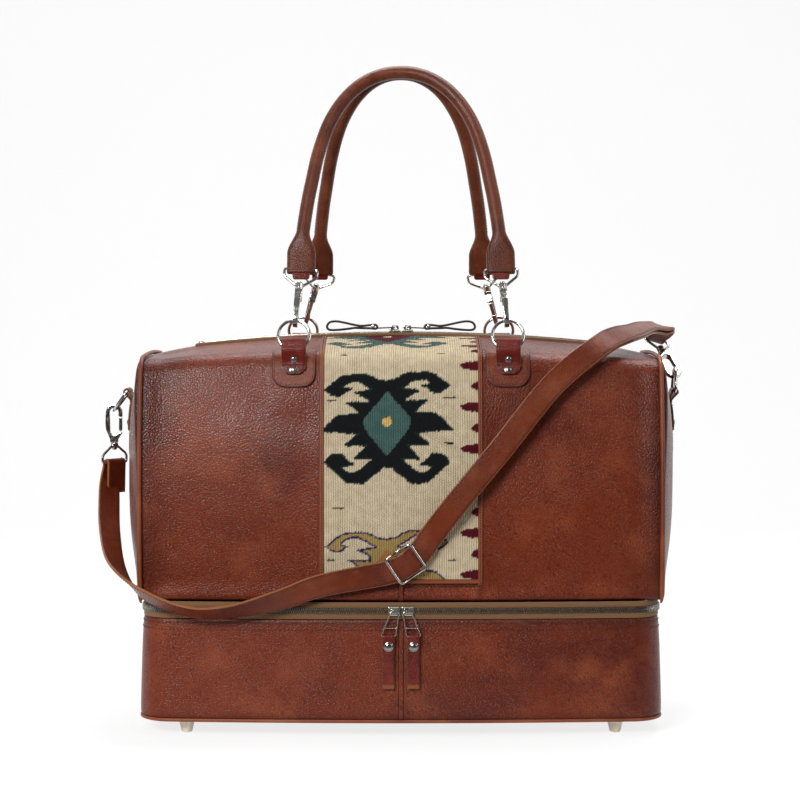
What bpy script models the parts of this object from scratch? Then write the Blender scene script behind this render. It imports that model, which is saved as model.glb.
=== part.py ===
"""Leather travel bag with a woven wool band, a zipped base compartment, two rolled
handles on swivel snap hooks and a flat shoulder strap hooked to both ends.

Lengths are in metres and +Z is up. The front of the bag faces -Y and its long side
runs along X. The origin lies on the floor, under the middle of the bounding box.
"""

import math

import bmesh
import bpy
from mathutils import Matrix, Vector

MM = 0.001

# Gaps between pieces that touch on the real bag
SEAM_GAP = 0.3 * MM
PIN_GAP = 0.35 * MM

# The bag's middle lies beside the origin, because the strap stands out on the left
BAG_SHIFT_X = 8.55 * MM
BAG_SHIFT_Y = 11.8 * MM

# Feet and base compartment
FOOT_HEIGHT = 14 * MM
FOOT_TOP_RADIUS = 8.5 * MM
FOOT_BOTTOM_RADIUS = 5 * MM
FOOT_INSET_X = 46 * MM
FOOT_INSET_Y = 34 * MM
BASE_HALF_LENGTH = 254 * MM
BASE_HALF_DEPTH = 122 * MM
BASE_CORNER_RADIUS = 34 * MM
BASE_WALL_HEIGHT = 96 * MM
BASE_TAPER = 3.5 * MM
FLOOR_THICKNESS = 3.5 * MM
FRONT_BULGE = 11 * MM

# Zip round the base
BASE_ZIP_BAND_HEIGHT = 16 * MM
BASE_ZIP_INSET = 4.2 * MM
TEETH_WIDTH = 6 * MM
TEETH_STAND = 1.6 * MM
BASE_ZIP_END_DEPTH = 78 * MM

# Upper body
BODY_HALF_LENGTH = 250 * MM
BODY_SETBACK = 4 * MM
BODY_FACE_BULGE = 7 * MM
BODY_LEAN_IN = 13 * MM
FOLD_HEIGHT_MIDDLE = 238 * MM
FOLD_DROP = 6 * MM
FOLD_RADIUS = 17 * MM
RIDGE_RISE = 15 * MM
RIDGE_DROP = 16 * MM
END_PANEL_EDGE = 3 * MM
END_PANEL_BULGE = 17 * MM
PIPING_RADIUS = 2.3 * MM
KILIM_HALF_WIDTH = 74 * MM
KILIM_BOTTOM = 21 * MM

# Top zip
TOP_ZIP_HALF_LENGTH = 205 * MM
TOP_TAPE_HALF_WIDTH = 14 * MM
TAPE_THICKNESS = 1.4 * MM

# Zip sliders and their pulls
SLIDER_LENGTH = 11.5 * MM
SLIDER_WALL = 1.3 * MM
SLIDER_PAIR_GAP = 1.2 * MM
BRIDGE_HEIGHT = 4.4 * MM
BRIDGE_WIDTH = 3.6 * MM
BASE_BRIDGE_HALF = 2.8 * MM
PULL_WIRE_RADIUS = 0.8 * MM
PULL_WIRE_LENGTH = 24 * MM
PULL_WIRE_TOP_WIDTH = 8.5 * MM
PULL_WIRE_BOTTOM_WIDTH = 13.6 * MM
PULL_WIRE_SPLAY = 5.6 * MM
PULL_TAB_WIDTH = 11.2 * MM
PULL_TAB_LENGTH = 50 * MM
PULL_TAB_THICKNESS = 3 * MM
PULL_RIVET_RADIUS = 4.6 * MM
THONG_RADIUS = 1.25 * MM
THONG_LENGTH = 47 * MM
THONG_HALF_WIDTH = 6.5 * MM

# Rings and the leather tabs that hold them
RING_RADIUS = 15 * MM
RING_WIRE_RADIUS = 1.6 * MM
RING_OFFSET_X = 102.5 * MM
PATCH_WIDTH = 42 * MM
PATCH_LENGTH = 41 * MM
PATCH_DROP = 32 * MM
PATCH_THICKNESS = 2 * MM
TAB_WIDTH = 23.5 * MM
TAB_LENGTH = 16 * MM
TAB_DROP = 20.5 * MM
TAB_THICKNESS = 1.8 * MM
TAB_RISE = 12.5 * MM
TAB_PLAY = 1.9 * MM
RIVET_RADIUS = 3 * MM
RIVET_SPACING = 10 * MM
RIVET_RISE = 4.6 * MM

# Swivel snap hooks: s runs from the ring's wire to the swivel
HOOK_INNER_RADIUS = 4.4 * MM
HOOK_WALL = 4 * MM
HOOK_SEAT_GAP = 1.1 * MM
HOOK_BARREL_RADIUS = 4 * MM
HOOK_THICKNESS_BEND = 4.6 * MM
HOOK_THICKNESS_BARREL = 7.6 * MM
HOOK_LENGTH = 32 * MM
GATE_PIVOT_S = 19 * MM
GATE_HALF_WIDTH = 1.65 * MM
GATE_THICKNESS = 3.8 * MM
COLLAR_HEIGHT = 5.2 * MM
COLLAR_RADIUS = 3.9 * MM
POST_RADIUS = 1.6 * MM
LOOP_WIRE_RADIUS = 1.45 * MM
LOOP_INNER_WIDTH = 29 * MM
LOOP_HEIGHT = 17.5 * MM
LOOP_SHOULDER = 8 * MM

# Rolled handles
HANDLE_RADIUS = 6.5 * MM
HANDLE_RISE = 207 * MM
HANDLE_MEET_GAP = 1.2 * MM
SPADE_WIDTH = 27.6 * MM
SPADE_THICKNESS = 7.4 * MM
FRONT_HANDLE_HALF_SPAN = 96.5 * MM
BACK_HANDLE_HALF_SPAN = 84 * MM

# Shoulder strap
STRAP_WIDTH = 23 * MM
STRAP_THICKNESS = 2.6 * MM
STRAP_LAYER_GAP = 0.5 * MM
STRAP_FLAP = 30 * MM
ADJUSTER_WIRE_RADIUS = 1.3 * MM
ADJUSTER_SIZE = 31 * MM
ADJUSTER_TURN = 33.5
ADJUSTER_X = 4.5 * MM
ADJUSTER_HEIGHT = 169 * MM
STRAP_RING_HALF_WIDTH = 14 * MM
STRAP_RING_HEIGHT = 24 * MM
ANCHOR_WIDTH = 22 * MM
ANCHOR_LENGTH = 64 * MM
ANCHOR_OUTER_LENGTH = 40 * MM
ANCHOR_TOP = 196 * MM

# Heights that stack up from the floor
FLOOR_BOTTOM = FOOT_HEIGHT + SEAM_GAP
BASE_BOTTOM = FLOOR_BOTTOM + FLOOR_THICKNESS + SEAM_GAP
BASE_TOP = BASE_BOTTOM + BASE_WALL_HEIGHT
ZIP_BOTTOM = BASE_TOP + SEAM_GAP
ZIP_TOP = ZIP_BOTTOM + BASE_ZIP_BAND_HEIGHT
BODY_BOTTOM = ZIP_TOP + SEAM_GAP

X_AXIS = Vector((1, 0, 0))
Y_AXIS = Vector((0, 1, 0))
Z_AXIS = Vector((0, 0, 1))

LEATHER = ("cognac_leather", (0.27, 0.075, 0.032), 0.42, 0.0)
EDGE_LEATHER = ("edge_leather", (0.33, 0.12, 0.05), 0.5, 0.0)
THONG_LEATHER = ("dark_thong_leather", (0.045, 0.025, 0.02), 0.5, 0.0)
WOOL = ("woven_wool", (0.62, 0.54, 0.40), 0.95, 0.0)
TAPE = ("olive_zip_tape", (0.18, 0.085, 0.025), 0.8, 0.0)
NICKEL = ("nickel", (0.72, 0.71, 0.69), 0.18, 1.0)
FOOT_PLASTIC = ("cream_plastic", (0.80, 0.74, 0.62), 0.4, 0.0)


# Small modelling helpers


def material(finish):
    """Return the Principled material of a finish, made on first use."""
    name, colour, roughness, metallic = finish
    found = bpy.data.materials.get(name)
    if found:
        return found
    made = bpy.data.materials.new(name)
    made.use_nodes = True
    shader = made.node_tree.nodes["Principled BSDF"]
    shader.inputs["Base Color"].default_value = (*colour, 1.0)
    shader.inputs["Roughness"].default_value = roughness
    shader.inputs["Metallic"].default_value = metallic
    return made


def add_object(name, mesh, finish, pivot=None, smooth_angle=40.0):
    """Link a mesh as a named, smoothly shaded object, its origin at its joint's pivot."""
    if pivot is not None:
        mesh.transform(Matrix.Translation(-pivot))
    mesh.materials.clear()
    mesh.materials.append(material(finish))
    mesh.shade_smooth()
    mesh.set_sharp_from_angle(angle=math.radians(smooth_angle))
    made = bpy.data.objects.new(name, mesh)
    bpy.context.collection.objects.link(made)
    if pivot is not None:
        made.location = pivot
    return made


def loft(rings, close_path=False):
    """Join rings of equally many points into one closed mesh."""
    shape = bmesh.new()
    loops = [[shape.verts.new(point) for point in ring] for ring in rings]
    pairs = list(zip(loops, loops[1:]))
    if close_path:
        pairs.append((loops[-1], loops[0]))
    for low, high in pairs:
        count = len(low)
        for i in range(count):
            j = (i + 1) % count
            shape.faces.new((low[i], low[j], high[j], high[i]))
    if not close_path:
        shape.faces.new(list(reversed(loops[0])))
        shape.faces.new(loops[-1])
    return finished_mesh(shape)


def finished_mesh(shape):
    """Turn the faces outwards and return the mesh."""
    bmesh.ops.recalc_face_normals(shape, faces=shape.faces)
    mesh = bpy.data.meshes.new("shape")
    shape.to_mesh(mesh)
    shape.free()
    return mesh


def prism(outline, depth_at, axis_frame):
    """Extrude an outline of (a, b) points both ways along the frame's X axis.

    depth_at(b) is half the thickness there, so a prism can taper along b.
    """
    low = [axis_frame @ Vector((-depth_at(b), a, b)) for a, b in outline]
    high = [axis_frame @ Vector((depth_at(b), a, b)) for a, b in outline]
    return loft([low, high])


def boolean(target, tool, operation):
    """Cut or join two meshes with an exact Boolean and return the new mesh."""
    base = bpy.data.objects.new("boolean_base", target)
    other = bpy.data.objects.new("boolean_tool", tool)
    for made in (base, other):
        bpy.context.collection.objects.link(made)
        made.hide_render = True
        made.display_type = "WIRE"
    modifier = base.modifiers.new("boolean", "BOOLEAN")
    modifier.operation = operation
    modifier.solver = "EXACT"
    modifier.object = other
    bpy.context.view_layer.update()
    graph = bpy.context.evaluated_depsgraph_get()
    result = bpy.data.meshes.new_from_object(base.evaluated_get(graph))
    for made in (base, other):
        bpy.data.objects.remove(made, do_unlink=True)
    return result


def box_mesh(low, high):
    """Return a box between two corners."""
    ring = [
        (low[0], low[1]),
        (high[0], low[1]),
        (high[0], high[1]),
        (low[0], high[1]),
    ]
    return loft([[Vector((x, y, z)) for x, y in ring] for z in (low[2], high[2])])


def rod_mesh(start, end, radius, sides=10, end_radius=None):
    """Return a round rod or cone between two points."""
    direction = (end - start).normalized()
    side = direction.orthogonal().normalized()
    other = direction.cross(side)
    rings = []
    for centre, r in ((start, radius), (end, end_radius or radius)):
        angles = [2 * math.pi * i / sides for i in range(sides)]
        rings.append([centre + r * (math.cos(a) * side + math.sin(a) * other) for a in angles])
    return loft(rings)


def dome_mesh(centre, normal, radius, height, sides=12):
    """Return a low dome with a short skirt below its rim, such as a rivet's head."""
    side = normal.orthogonal().normalized()
    other = normal.cross(side)
    levels = ((-0.7, 1.0), (0.15, 1.0), (0.62, 0.82), (1.0, 0.4))
    rings = []
    for rise, share in levels:
        angles = [2 * math.pi * i / sides for i in range(sides)]
        middle = centre + rise * height * normal
        r = share * radius
        rings.append([middle + r * (math.cos(a) * side + math.sin(a) * other) for a in angles])
    return loft(rings)


def path_tangents(points, closed):
    """Return the unit direction of a path at each of its points."""
    count = len(points)
    tangents = []
    for i in range(count):
        before = points[i - 1] if closed or i else points[0]
        after = points[(i + 1) % count] if closed or i < count - 1 else points[-1]
        tangents.append((after - before).normalized())
    return tangents


def tube_mesh(points, radius, sides=8, closed=False, reference=Y_AXIS):
    """Sweep a round section along a path whose frame leans on a reference direction."""
    rings = []
    for point, tangent in zip(points, path_tangents(points, closed)):
        side = (reference - reference.dot(tangent) * tangent).normalized()
        other = tangent.cross(side)
        angles = [2 * math.pi * (i + 0.5) / sides for i in range(sides)]
        rings.append([point + radius * (math.cos(a) * side + math.sin(a) * other) for a in angles])
    return loft(rings, close_path=closed)


def smooth_path(points, steps):
    """Return a smooth curve through the given points, with steps between each two."""
    ends = [2 * points[0] - points[1]] + list(points) + [2 * points[-1] - points[-2]]
    curve = []
    for before, a, b, after in zip(ends, ends[1:], ends[2:], ends[3:]):
        for i in range(steps):
            t = i / steps
            curve.append(
                0.5
                * (
                    2 * a
                    + (b - before) * t
                    + (2 * before - 5 * a + 4 * b - after) * t**2
                    + (3 * a - before - 3 * b + after) * t**3
                )
            )
    curve.append(points[-1].copy())
    return curve


def arc(centre, radius, start, end, steps):
    """Return (a, b) points along a circle's arc, angles in degrees."""
    points = []
    for i in range(steps + 1):
        angle = math.radians(start + (end - start) * i / steps)
        points.append((centre[0] + radius * math.cos(angle), centre[1] + radius * math.sin(angle)))
    return points


def bezier(p0, p1, p2, p3, steps):
    """Return (a, b) points along a cubic curve, without its last point."""
    points = []
    for i in range(steps):
        t = i / steps
        shares = ((1 - t) ** 3, 3 * t * (1 - t) ** 2, 3 * t * t * (1 - t), t**3)
        points.append(
            tuple(sum(s * p[k] for s, p in zip(shares, (p0, p1, p2, p3))) for k in (0, 1))
        )
    return points


def axes_at(origin, x_axis, z_axis):
    """Return a placing matrix from an origin, its X axis and its rough Z axis."""
    x_dir = x_axis.normalized()
    z_dir = (z_axis - z_axis.dot(x_dir) * x_dir).normalized()
    y_dir = z_dir.cross(x_dir)
    turn = Matrix((x_dir, y_dir, z_dir)).transposed().to_4x4()
    return Matrix.Translation(origin) @ turn


# The forms that several pieces share


def arc_radius(half_chord, rise):
    """Return the radius of the circle through a chord and its rise."""
    return (half_chord**2 + rise**2) / (2 * rise)


def arc_drop(x, half_chord, rise):
    """Return how far a circle's arc has dropped at x from its highest point."""
    radius = arc_radius(half_chord, rise)
    return radius - math.sqrt(radius**2 - x**2)


def front_depth(x):
    """Return the base's half depth at x, on the bulged front's arc."""
    return BASE_HALF_DEPTH - arc_drop(x, BASE_HALF_LENGTH, FRONT_BULGE)


def fold_height(x):
    """Return the height of the fold between the front and the top."""
    return BODY_BOTTOM + FOLD_HEIGHT_MIDDLE - arc_drop(x, BODY_HALF_LENGTH, FOLD_DROP)


def ridge_height(x):
    """Return the height of the top's ridge, where the zip runs."""
    top = BODY_BOTTOM + FOLD_HEIGHT_MIDDLE + RIDGE_RISE
    return top - arc_drop(x, BODY_HALF_LENGTH, RIDGE_DROP)


def front_half_section(x):
    """Return the body's front half outline at x, from the bottom to the ridge."""
    depth = front_depth(x) - BODY_SETBACK
    fold = fold_height(x)
    height = fold - BODY_BOTTOM
    hem = 6 * MM
    top_depth = depth - BODY_LEAN_IN
    swell = BODY_FACE_BULGE * 4 / 3
    points = [(-depth + hem, BODY_BOTTOM), (-depth + 0.3 * hem, BODY_BOTTOM + 0.3 * hem)]
    points += bezier(
        (-depth, BODY_BOTTOM + hem),
        (-depth - swell, BODY_BOTTOM + 0.33 * height),
        (-top_depth - 1.5 * swell, BODY_BOTTOM + 0.72 * height),
        (-top_depth, fold - FOLD_RADIUS),
        8,
    )
    shoulder = (-top_depth + FOLD_RADIUS, fold + 0.18 * RIDGE_RISE)
    points += bezier(
        (-top_depth, fold - FOLD_RADIUS),
        (-top_depth + 0.12 * FOLD_RADIUS, fold - 0.35 * FOLD_RADIUS),
        (-top_depth + 0.4 * FOLD_RADIUS, fold),
        shoulder,
        4,
    )
    ridge = ridge_height(x)
    points += bezier(
        shoulder,
        (0.62 * shoulder[0], shoulder[1] + 0.6 * (ridge - shoulder[1])),
        (0.3 * shoulder[0], ridge),
        (0.0, ridge),
        5,
    )
    return points


def body_section(x):
    """Return the body's whole closed outline at x as (y, z) points."""
    front = front_half_section(x)
    back = [(-y, z) for y, z in reversed(front)]
    return front + [(0.0, ridge_height(x))] + back


def front_surface(x, z):
    """Return the y of the body's front at x and height z."""
    points = front_half_section(x)
    for (y0, z0), (y1, z1) in zip(points, points[1:]):
        if z0 <= z <= z1 and z1 > z0:
            return y0 + (y1 - y0) * (z - z0) / (z1 - z0)
    return points[0][0] if z < points[0][1] else points[-1][0]


def plan_outline(inset):
    """Return the base's plan as (x, y) points, drawn in by an inset."""
    half_length = BASE_HALF_LENGTH - inset
    radius = BASE_CORNER_RADIUS - inset
    corner_x = half_length - radius
    corner_y = front_depth(corner_x) - inset - radius
    steps = 12
    front = []
    for i in range(steps + 1):
        x = corner_x * (2 * i / steps - 1)
        front.append((x, -front_depth(x) + inset))
    right_front = arc((corner_x, -corner_y), radius, -90, 0, 5)[1:]
    right_back = arc((corner_x, corner_y), radius, 0, 90, 5)[:-1]
    back = [(-x, -y) for x, y in front]
    left_back = [(-x, -y) for x, y in right_front]
    left_front = [(-x, -y) for x, y in right_back]
    return front + right_front + right_back + back + left_back + left_front


def level_ring(inset, z):
    """Return the base's plan at height z as points of the bag."""
    return [Vector((x, y, z)) for x, y in plan_outline(inset)]


# Base compartment


def make_feet():
    """Four turned plastic feet under the base."""
    for depth_name, y_side in (("front", -1), ("back", 1)):
        for side_name, x_side in (("left", -1), ("right", 1)):
            x = x_side * (BASE_HALF_LENGTH - FOOT_INSET_X)
            y = y_side * (BASE_HALF_DEPTH - FOOT_INSET_Y)
            sides = 16
            levels = (
                (0.0, FOOT_BOTTOM_RADIUS),
                (0.6 * MM, FOOT_BOTTOM_RADIUS + 0.5 * MM),
                (FOOT_HEIGHT, FOOT_TOP_RADIUS),
            )
            rings = []
            for z, r in levels:
                angles = [2 * math.pi * i / sides for i in range(sides)]
                rings.append(
                    [Vector((x + r * math.cos(a), y + r * math.sin(a), z)) for a in angles]
                )
            add_object(f"foot_{depth_name}_{side_name}", loft(rings), FOOT_PLASTIC)


def make_base():
    """The bottom panel, the base's leather wall and the zip band above it."""
    lip = 1.2 * MM
    floor = [
        level_ring(2.5 * MM, FLOOR_BOTTOM),
        level_ring(0.2 * MM, FLOOR_BOTTOM + lip),
        level_ring(0.2 * MM, FLOOR_BOTTOM + FLOOR_THICKNESS),
    ]
    add_object("base_bottom", loft(floor), EDGE_LEATHER)
    levels = ((0.0, 1.6), (0.03, 0.6), (0.3, 0.0), (0.7, 0.0), (0.975, 0.8), (1.0, 2.2))
    wall = []
    for share, inset in levels:
        z = BASE_BOTTOM + share * BASE_WALL_HEIGHT
        wall.append(level_ring(inset * MM + share * BASE_TAPER, z))
    add_object("base_wall", loft(wall), LEATHER)
    middle = (ZIP_BOTTOM + ZIP_TOP) / 2
    half = TEETH_WIDTH / 2
    chamfer = 0.25 * MM
    levels = (
        (ZIP_BOTTOM, 0.0),
        (middle - half - chamfer, 0.0),
        (middle - half, TEETH_STAND),
        (middle + half, TEETH_STAND),
        (middle + half + chamfer, 0.0),
        (ZIP_TOP, 0.0),
    )
    band = []
    for z, stand in levels:
        plain = level_ring(BASE_ZIP_INSET, z)
        proud = level_ring(BASE_ZIP_INSET - stand, z)
        band.append([b if a.y < BASE_ZIP_END_DEPTH else a for a, b in zip(plain, proud)])
    add_object("base_zip", loft(band), TAPE)


# Upper body


def body_chunk(x_low, x_high, count):
    """Return the body between two planes across its length."""
    rings = []
    for i in range(count + 1):
        x = x_low + (x_high - x_low) * i / count
        rings.append([Vector((x, y, z)) for y, z in body_section(x)])
    return loft(rings)


def make_body():
    """Two leather halves that frame the woven band, and the band itself."""
    cut_low = BODY_BOTTOM + KILIM_BOTTOM
    reach = 1.0
    for name, side in (("body_left", -1), ("body_right", 1)):
        inner = side * SEAM_GAP / 2
        outer = side * BODY_HALF_LENGTH
        chunk = body_chunk(min(inner, outer), max(inner, outer), 8)
        window = sorted((side * (KILIM_HALF_WIDTH + SEAM_GAP / 2), -side * 2 * SEAM_GAP))
        cutter = box_mesh((window[0], -reach, cut_low), (window[1], reach, reach))
        add_object(name, boolean(chunk, cutter, "DIFFERENCE"), LEATHER)
    half = KILIM_HALF_WIDTH - SEAM_GAP / 2
    band = body_chunk(-half, half, 6)
    below = box_mesh((-reach, -reach, 0), (reach, reach, cut_low + SEAM_GAP))
    add_object("kilim_band", boolean(band, below, "DIFFERENCE"), WOOL)


def end_stand(y, z):
    """Return how far an end panel stands out beyond its seam at (y, z)."""
    low = BODY_BOTTOM
    high = ridge_height(BODY_HALF_LENGTH)
    up = min(1.0, abs(2 * (z - low) / (high - low) - 1))
    across = min(1.0, abs(y) / (front_depth(BODY_HALF_LENGTH) - BODY_SETBACK))
    return END_PANEL_EDGE + END_PANEL_BULGE * (1 - up**3) * (1 - across**2.4)


def make_end_panels():
    """Two crowned leather ends."""
    outline = body_section(BODY_HALF_LENGTH)
    foot_y = outline[-1][0]
    outline += [(foot_y * (1 - i / 4), BODY_BOTTOM) for i in range(1, 8)]
    middle_z = (BODY_BOTTOM + fold_height(BODY_HALF_LENGTH)) / 2
    for name, side in (("end_panel_left", -1), ("end_panel_right", 1)):
        start = BODY_HALF_LENGTH + SEAM_GAP
        rings = []
        for share in (0.99, 0.985, 0.94, 0.84, 0.68, 0.48, 0.24, 0.08):
            ring = []
            for y, z in outline:
                y_in, z_in = y * share, middle_z + (z - middle_z) * share
                stand = 0.0 if share == 0.99 else end_stand(y_in, z_in)
                ring.append(Vector((side * (start + stand), y_in, z_in)))
            rings.append(ring)
        add_object(name, loft(rings), LEATHER)


def make_pipings():
    """A rolled leather cord over the seam round each end."""
    outline = body_section(BODY_HALF_LENGTH)
    stand = PIPING_RADIUS + SEAM_GAP
    for name, side in (("piping_left", -1), ("piping_right", 1)):
        points = []
        for i in range(1, len(outline) - 1):
            (y0, z0), (y1, z1), (y2, z2) = outline[i - 1 : i + 2]
            along = Vector((0, y2 - y0, z2 - z0)).normalized()
            outward = Vector((0, -along.z, along.y))
            x = side * (BODY_HALF_LENGTH + SEAM_GAP / 2)
            points.append(Vector((x, y1, z1)) + stand * outward)
        add_object(name, tube_mesh(points, PIPING_RADIUS, 6, reference=X_AXIS), EDGE_LEATHER)


# Zips on the top


def make_top_zip():
    """The tape along the ridge, with its row of teeth as one raised rib."""
    half_teeth = TEETH_WIDTH / 2
    profile = [
        (-TOP_TAPE_HALF_WIDTH, 0.0),
        (TOP_TAPE_HALF_WIDTH, 0.0),
        (TOP_TAPE_HALF_WIDTH, TAPE_THICKNESS),
        (half_teeth, TAPE_THICKNESS),
        (half_teeth, TAPE_THICKNESS + TEETH_STAND),
        (-half_teeth, TAPE_THICKNESS + TEETH_STAND),
        (-half_teeth, TAPE_THICKNESS),
        (-TOP_TAPE_HALF_WIDTH, TAPE_THICKNESS),
    ]
    steps = 16
    rings = []
    for i in range(steps + 1):
        x = TOP_ZIP_HALF_LENGTH * (2 * i / steps - 1)
        base = ridge_height(x) + 1.5 * SEAM_GAP
        rings.append([Vector((x, y, base + z)) for y, z in profile])
    add_object("top_zip", loft(rings), TAPE)


def slider_mesh(place, hole_along_travel):
    """Return a zip slider: a channel over the teeth with a drilled bridge on it.

    The frame's X runs along the zip and its Z points out of the teeth's top face.
    """
    half_teeth = TEETH_WIDTH / 2 + PIN_GAP
    drop = TEETH_STAND - PIN_GAP
    profile = [
        (-half_teeth - SLIDER_WALL, -drop),
        (-half_teeth, -drop),
        (-half_teeth, PIN_GAP),
        (half_teeth, PIN_GAP),
        (half_teeth, -drop),
        (half_teeth + SLIDER_WALL, -drop),
        (half_teeth + SLIDER_WALL, PIN_GAP + 0.6 * SLIDER_WALL),
        (half_teeth, PIN_GAP + SLIDER_WALL),
        (-half_teeth, PIN_GAP + SLIDER_WALL),
        (-half_teeth - SLIDER_WALL, PIN_GAP + 0.6 * SLIDER_WALL),
    ]
    channel = prism(profile, lambda b: SLIDER_LENGTH / 2, place)
    foot = PIN_GAP + 0.5 * SLIDER_WALL
    top = PIN_GAP + SLIDER_WALL + BRIDGE_HEIGHT
    half_long = BASE_BRIDGE_HALF if hole_along_travel else 0.36 * SLIDER_LENGTH
    half_wide = BRIDGE_WIDTH / 2
    outline = [(-half_long, foot), (half_long, foot), (half_long, top - 1.6 * MM)]
    outline += [(half_long - 1.2 * MM, top), (-half_long + 1.2 * MM, top)]
    outline += [(-half_long, top - 1.6 * MM)]
    low = [place @ Vector((a, -half_wide, b)) for a, b in outline]
    high = [place @ Vector((a, half_wide, b)) for a, b in outline]
    body = boolean(channel, loft([low, high]), "UNION")
    reach = 2 * SLIDER_LENGTH
    axis = X_AXIS if hole_along_travel else Y_AXIS
    centre = Vector((0, 0, slider_hole_height()))
    bore_radius = (PULL_WIRE_RADIUS if hole_along_travel else THONG_RADIUS) + PIN_GAP
    bore = rod_mesh(
        place @ (centre - reach * axis), place @ (centre + reach * axis), bore_radius, 10
    )
    return boolean(body, bore, "DIFFERENCE")


def slider_hole_height():
    """Return the height of a bridge's hole above the teeth."""
    return PIN_GAP + SLIDER_WALL + 0.5 * BRIDGE_HEIGHT


def slider_middle_x():
    """Return how far a slider's middle stands beside the bag's middle."""
    return SLIDER_PAIR_GAP / 2 + SLIDER_LENGTH / 2


def make_top_sliders():
    """Two sliders that meet on the ridge, each with a thong loop as its pull."""
    for name, side in (("left", -1), ("right", 1)):
        x = side * slider_middle_x()
        z = ridge_height(x) + 1.5 * SEAM_GAP + TAPE_THICKNESS + TEETH_STAND
        radius = arc_radius(BODY_HALF_LENGTH, RIDGE_DROP)
        along = Vector((math.sqrt(radius**2 - x**2), 0, -x)).normalized()
        place = axes_at(Vector((x, 0, z)), along, Z_AXIS)
        centre = Vector((0, 0, ridge_height(0.0) - radius))
        add_object(f"top_zip_slider_{name}", slider_mesh(place, False), NICKEL, centre)
        hole = place @ Vector((0, 0, slider_hole_height()))
        half_bridge = BRIDGE_WIDTH / 2 + THONG_RADIUS + PIN_GAP
        long = THONG_LENGTH
        wide = THONG_HALF_WIDTH
        upper = [
            Vector((0.0, -0.55 * half_bridge, 0.0)),
            Vector((0.9 * MM, -half_bridge, 0.1 * MM)),
            Vector((0.13 * long, -1.05 * half_bridge, 0.15 * wide)),
            Vector((0.3 * long, -0.35 * half_bridge, 0.5 * wide)),
            Vector((0.52 * long, 0.0, 1.05 * wide)),
            Vector((0.78 * long, 0.0, 1.2 * wide)),
            Vector((0.95 * long, 0.0, 0.75 * wide)),
        ]
        lower = [Vector((p.x, -p.y, -0.2 * p.z)) for p in reversed(upper)]
        tip = Vector((long, 0.0, 0.2 * wide))
        loop = upper + [tip] + lower
        route = [hole + Vector((side * p.x, p.y, p.z)) for p in loop]
        points = smooth_path(route + [route[0]], 2)[:-1]
        mesh = tube_mesh(points, THONG_RADIUS, 6, closed=True, reference=Vector((0.13, 0.4, 0.9)))
        add_object(f"top_zip_pull_{name}", mesh, THONG_LEATHER, hole)


def make_base_sliders():
    """Two sliders that meet at the front, each with a wire pull and a leather tab."""
    teeth_depth = BASE_ZIP_INSET - TEETH_STAND
    z = (ZIP_BOTTOM + ZIP_TOP) / 2
    radius = arc_radius(BASE_HALF_LENGTH, FRONT_BULGE)
    for name, side in (("left", -1), ("right", 1)):
        x = side * slider_middle_x()
        y = -front_depth(x) + teeth_depth
        along = Vector((math.sqrt(radius**2 - x**2), x, 0)).normalized()
        out = Vector((along.y, -along.x, 0))
        place = axes_at(Vector((x, y, z)), along, out)
        centre = Vector((0, radius - BASE_HALF_DEPTH, z))
        add_object(f"base_zip_slider_{name}", slider_mesh(place, True), NICKEL, centre)
        hole = place @ Vector((0, 0, slider_hole_height()))
        drop = PULL_WIRE_LENGTH
        top = PULL_WIRE_TOP_WIDTH / 2
        bottom = PULL_WIRE_BOTTOM_WIDTH / 2
        corner = 1.6 * MM
        splay = side * PULL_WIRE_SPLAY
        outline = [
            (-top + corner, 0),
            (-top, -corner),
            (splay - bottom, -drop + corner),
            (splay - bottom + corner, -drop),
            (splay + bottom - corner, -drop),
            (splay + bottom, -drop + corner),
            (top, -corner),
            (top - corner, 0),
        ]
        wire = [hole + a * along + b * Z_AXIS for a, b in outline]
        loop = tube_mesh(wire, PULL_WIRE_RADIUS, 6, closed=True, reference=out)
        share = 0.66
        reach = top + (bottom - top) * share
        middle = hole + share * splay * along - share * drop * Z_AXIS
        bar_ends = (middle - reach * along, middle + reach * along)
        bar = rod_mesh(*bar_ends, 0.75 * PULL_WIRE_RADIUS, 6)
        add_object(f"base_zip_wire_{name}", boolean(loop, bar, "UNION"), NICKEL, hole)
        eye = hole + splay * along - drop * Z_AXIS
        add_object(f"base_zip_tab_{name}", pull_tab_mesh(eye, along, out), LEATHER, eye)


def pull_tab_mesh(eye, along, out):
    """Return a leather tab folded over a wire and held by a domed rivet."""
    place = axes_at(eye, along, Z_AXIS)
    bore = PULL_WIRE_RADIUS + PIN_GAP
    fold = bore + 1.3 * MM
    half = PULL_TAB_THICKNESS / 2
    outline = arc((0, 0), fold, -40, 220, 10)
    outline += [(-half, -1.9 * fold), (-half, -PULL_TAB_LENGTH), (half, -PULL_TAB_LENGTH)]
    outline += [(half, -1.9 * fold)]
    tab = prism(outline, lambda b: PULL_TAB_WIDTH / 2, place)
    reach = PULL_TAB_WIDTH
    tab = boolean(tab, rod_mesh(eye - reach * along, eye + reach * along, bore, 10), "DIFFERENCE")
    spot = eye - 0.19 * PULL_TAB_LENGTH * Z_AXIS + half * out
    return boolean(tab, dome_mesh(spot, out, PULL_RIVET_RADIUS, 1.8 * MM), "UNION")


# Rings and their tabs on the top edge


def ring_eye(side_y):
    """Return the point on the ring's swing axis, above the fold, at the rings' x."""
    x = RING_OFFSET_X
    y = -front_surface(x, fold_height(x) - FOLD_RADIUS)
    return Vector((0, side_y * (y + 0.5 * MM), fold_height(x) + 3.5 * MM))


def handle_lean():
    """Return how far the handles lean inwards, so that they meet at the top."""
    rise = 2 * RING_RADIUS + loop_bar_height() + HANDLE_RISE + 0.5 * MM
    reach = -ring_eye(-1).y - HANDLE_RADIUS - HANDLE_MEET_GAP / 2
    return math.asin(reach / rise)


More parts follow.
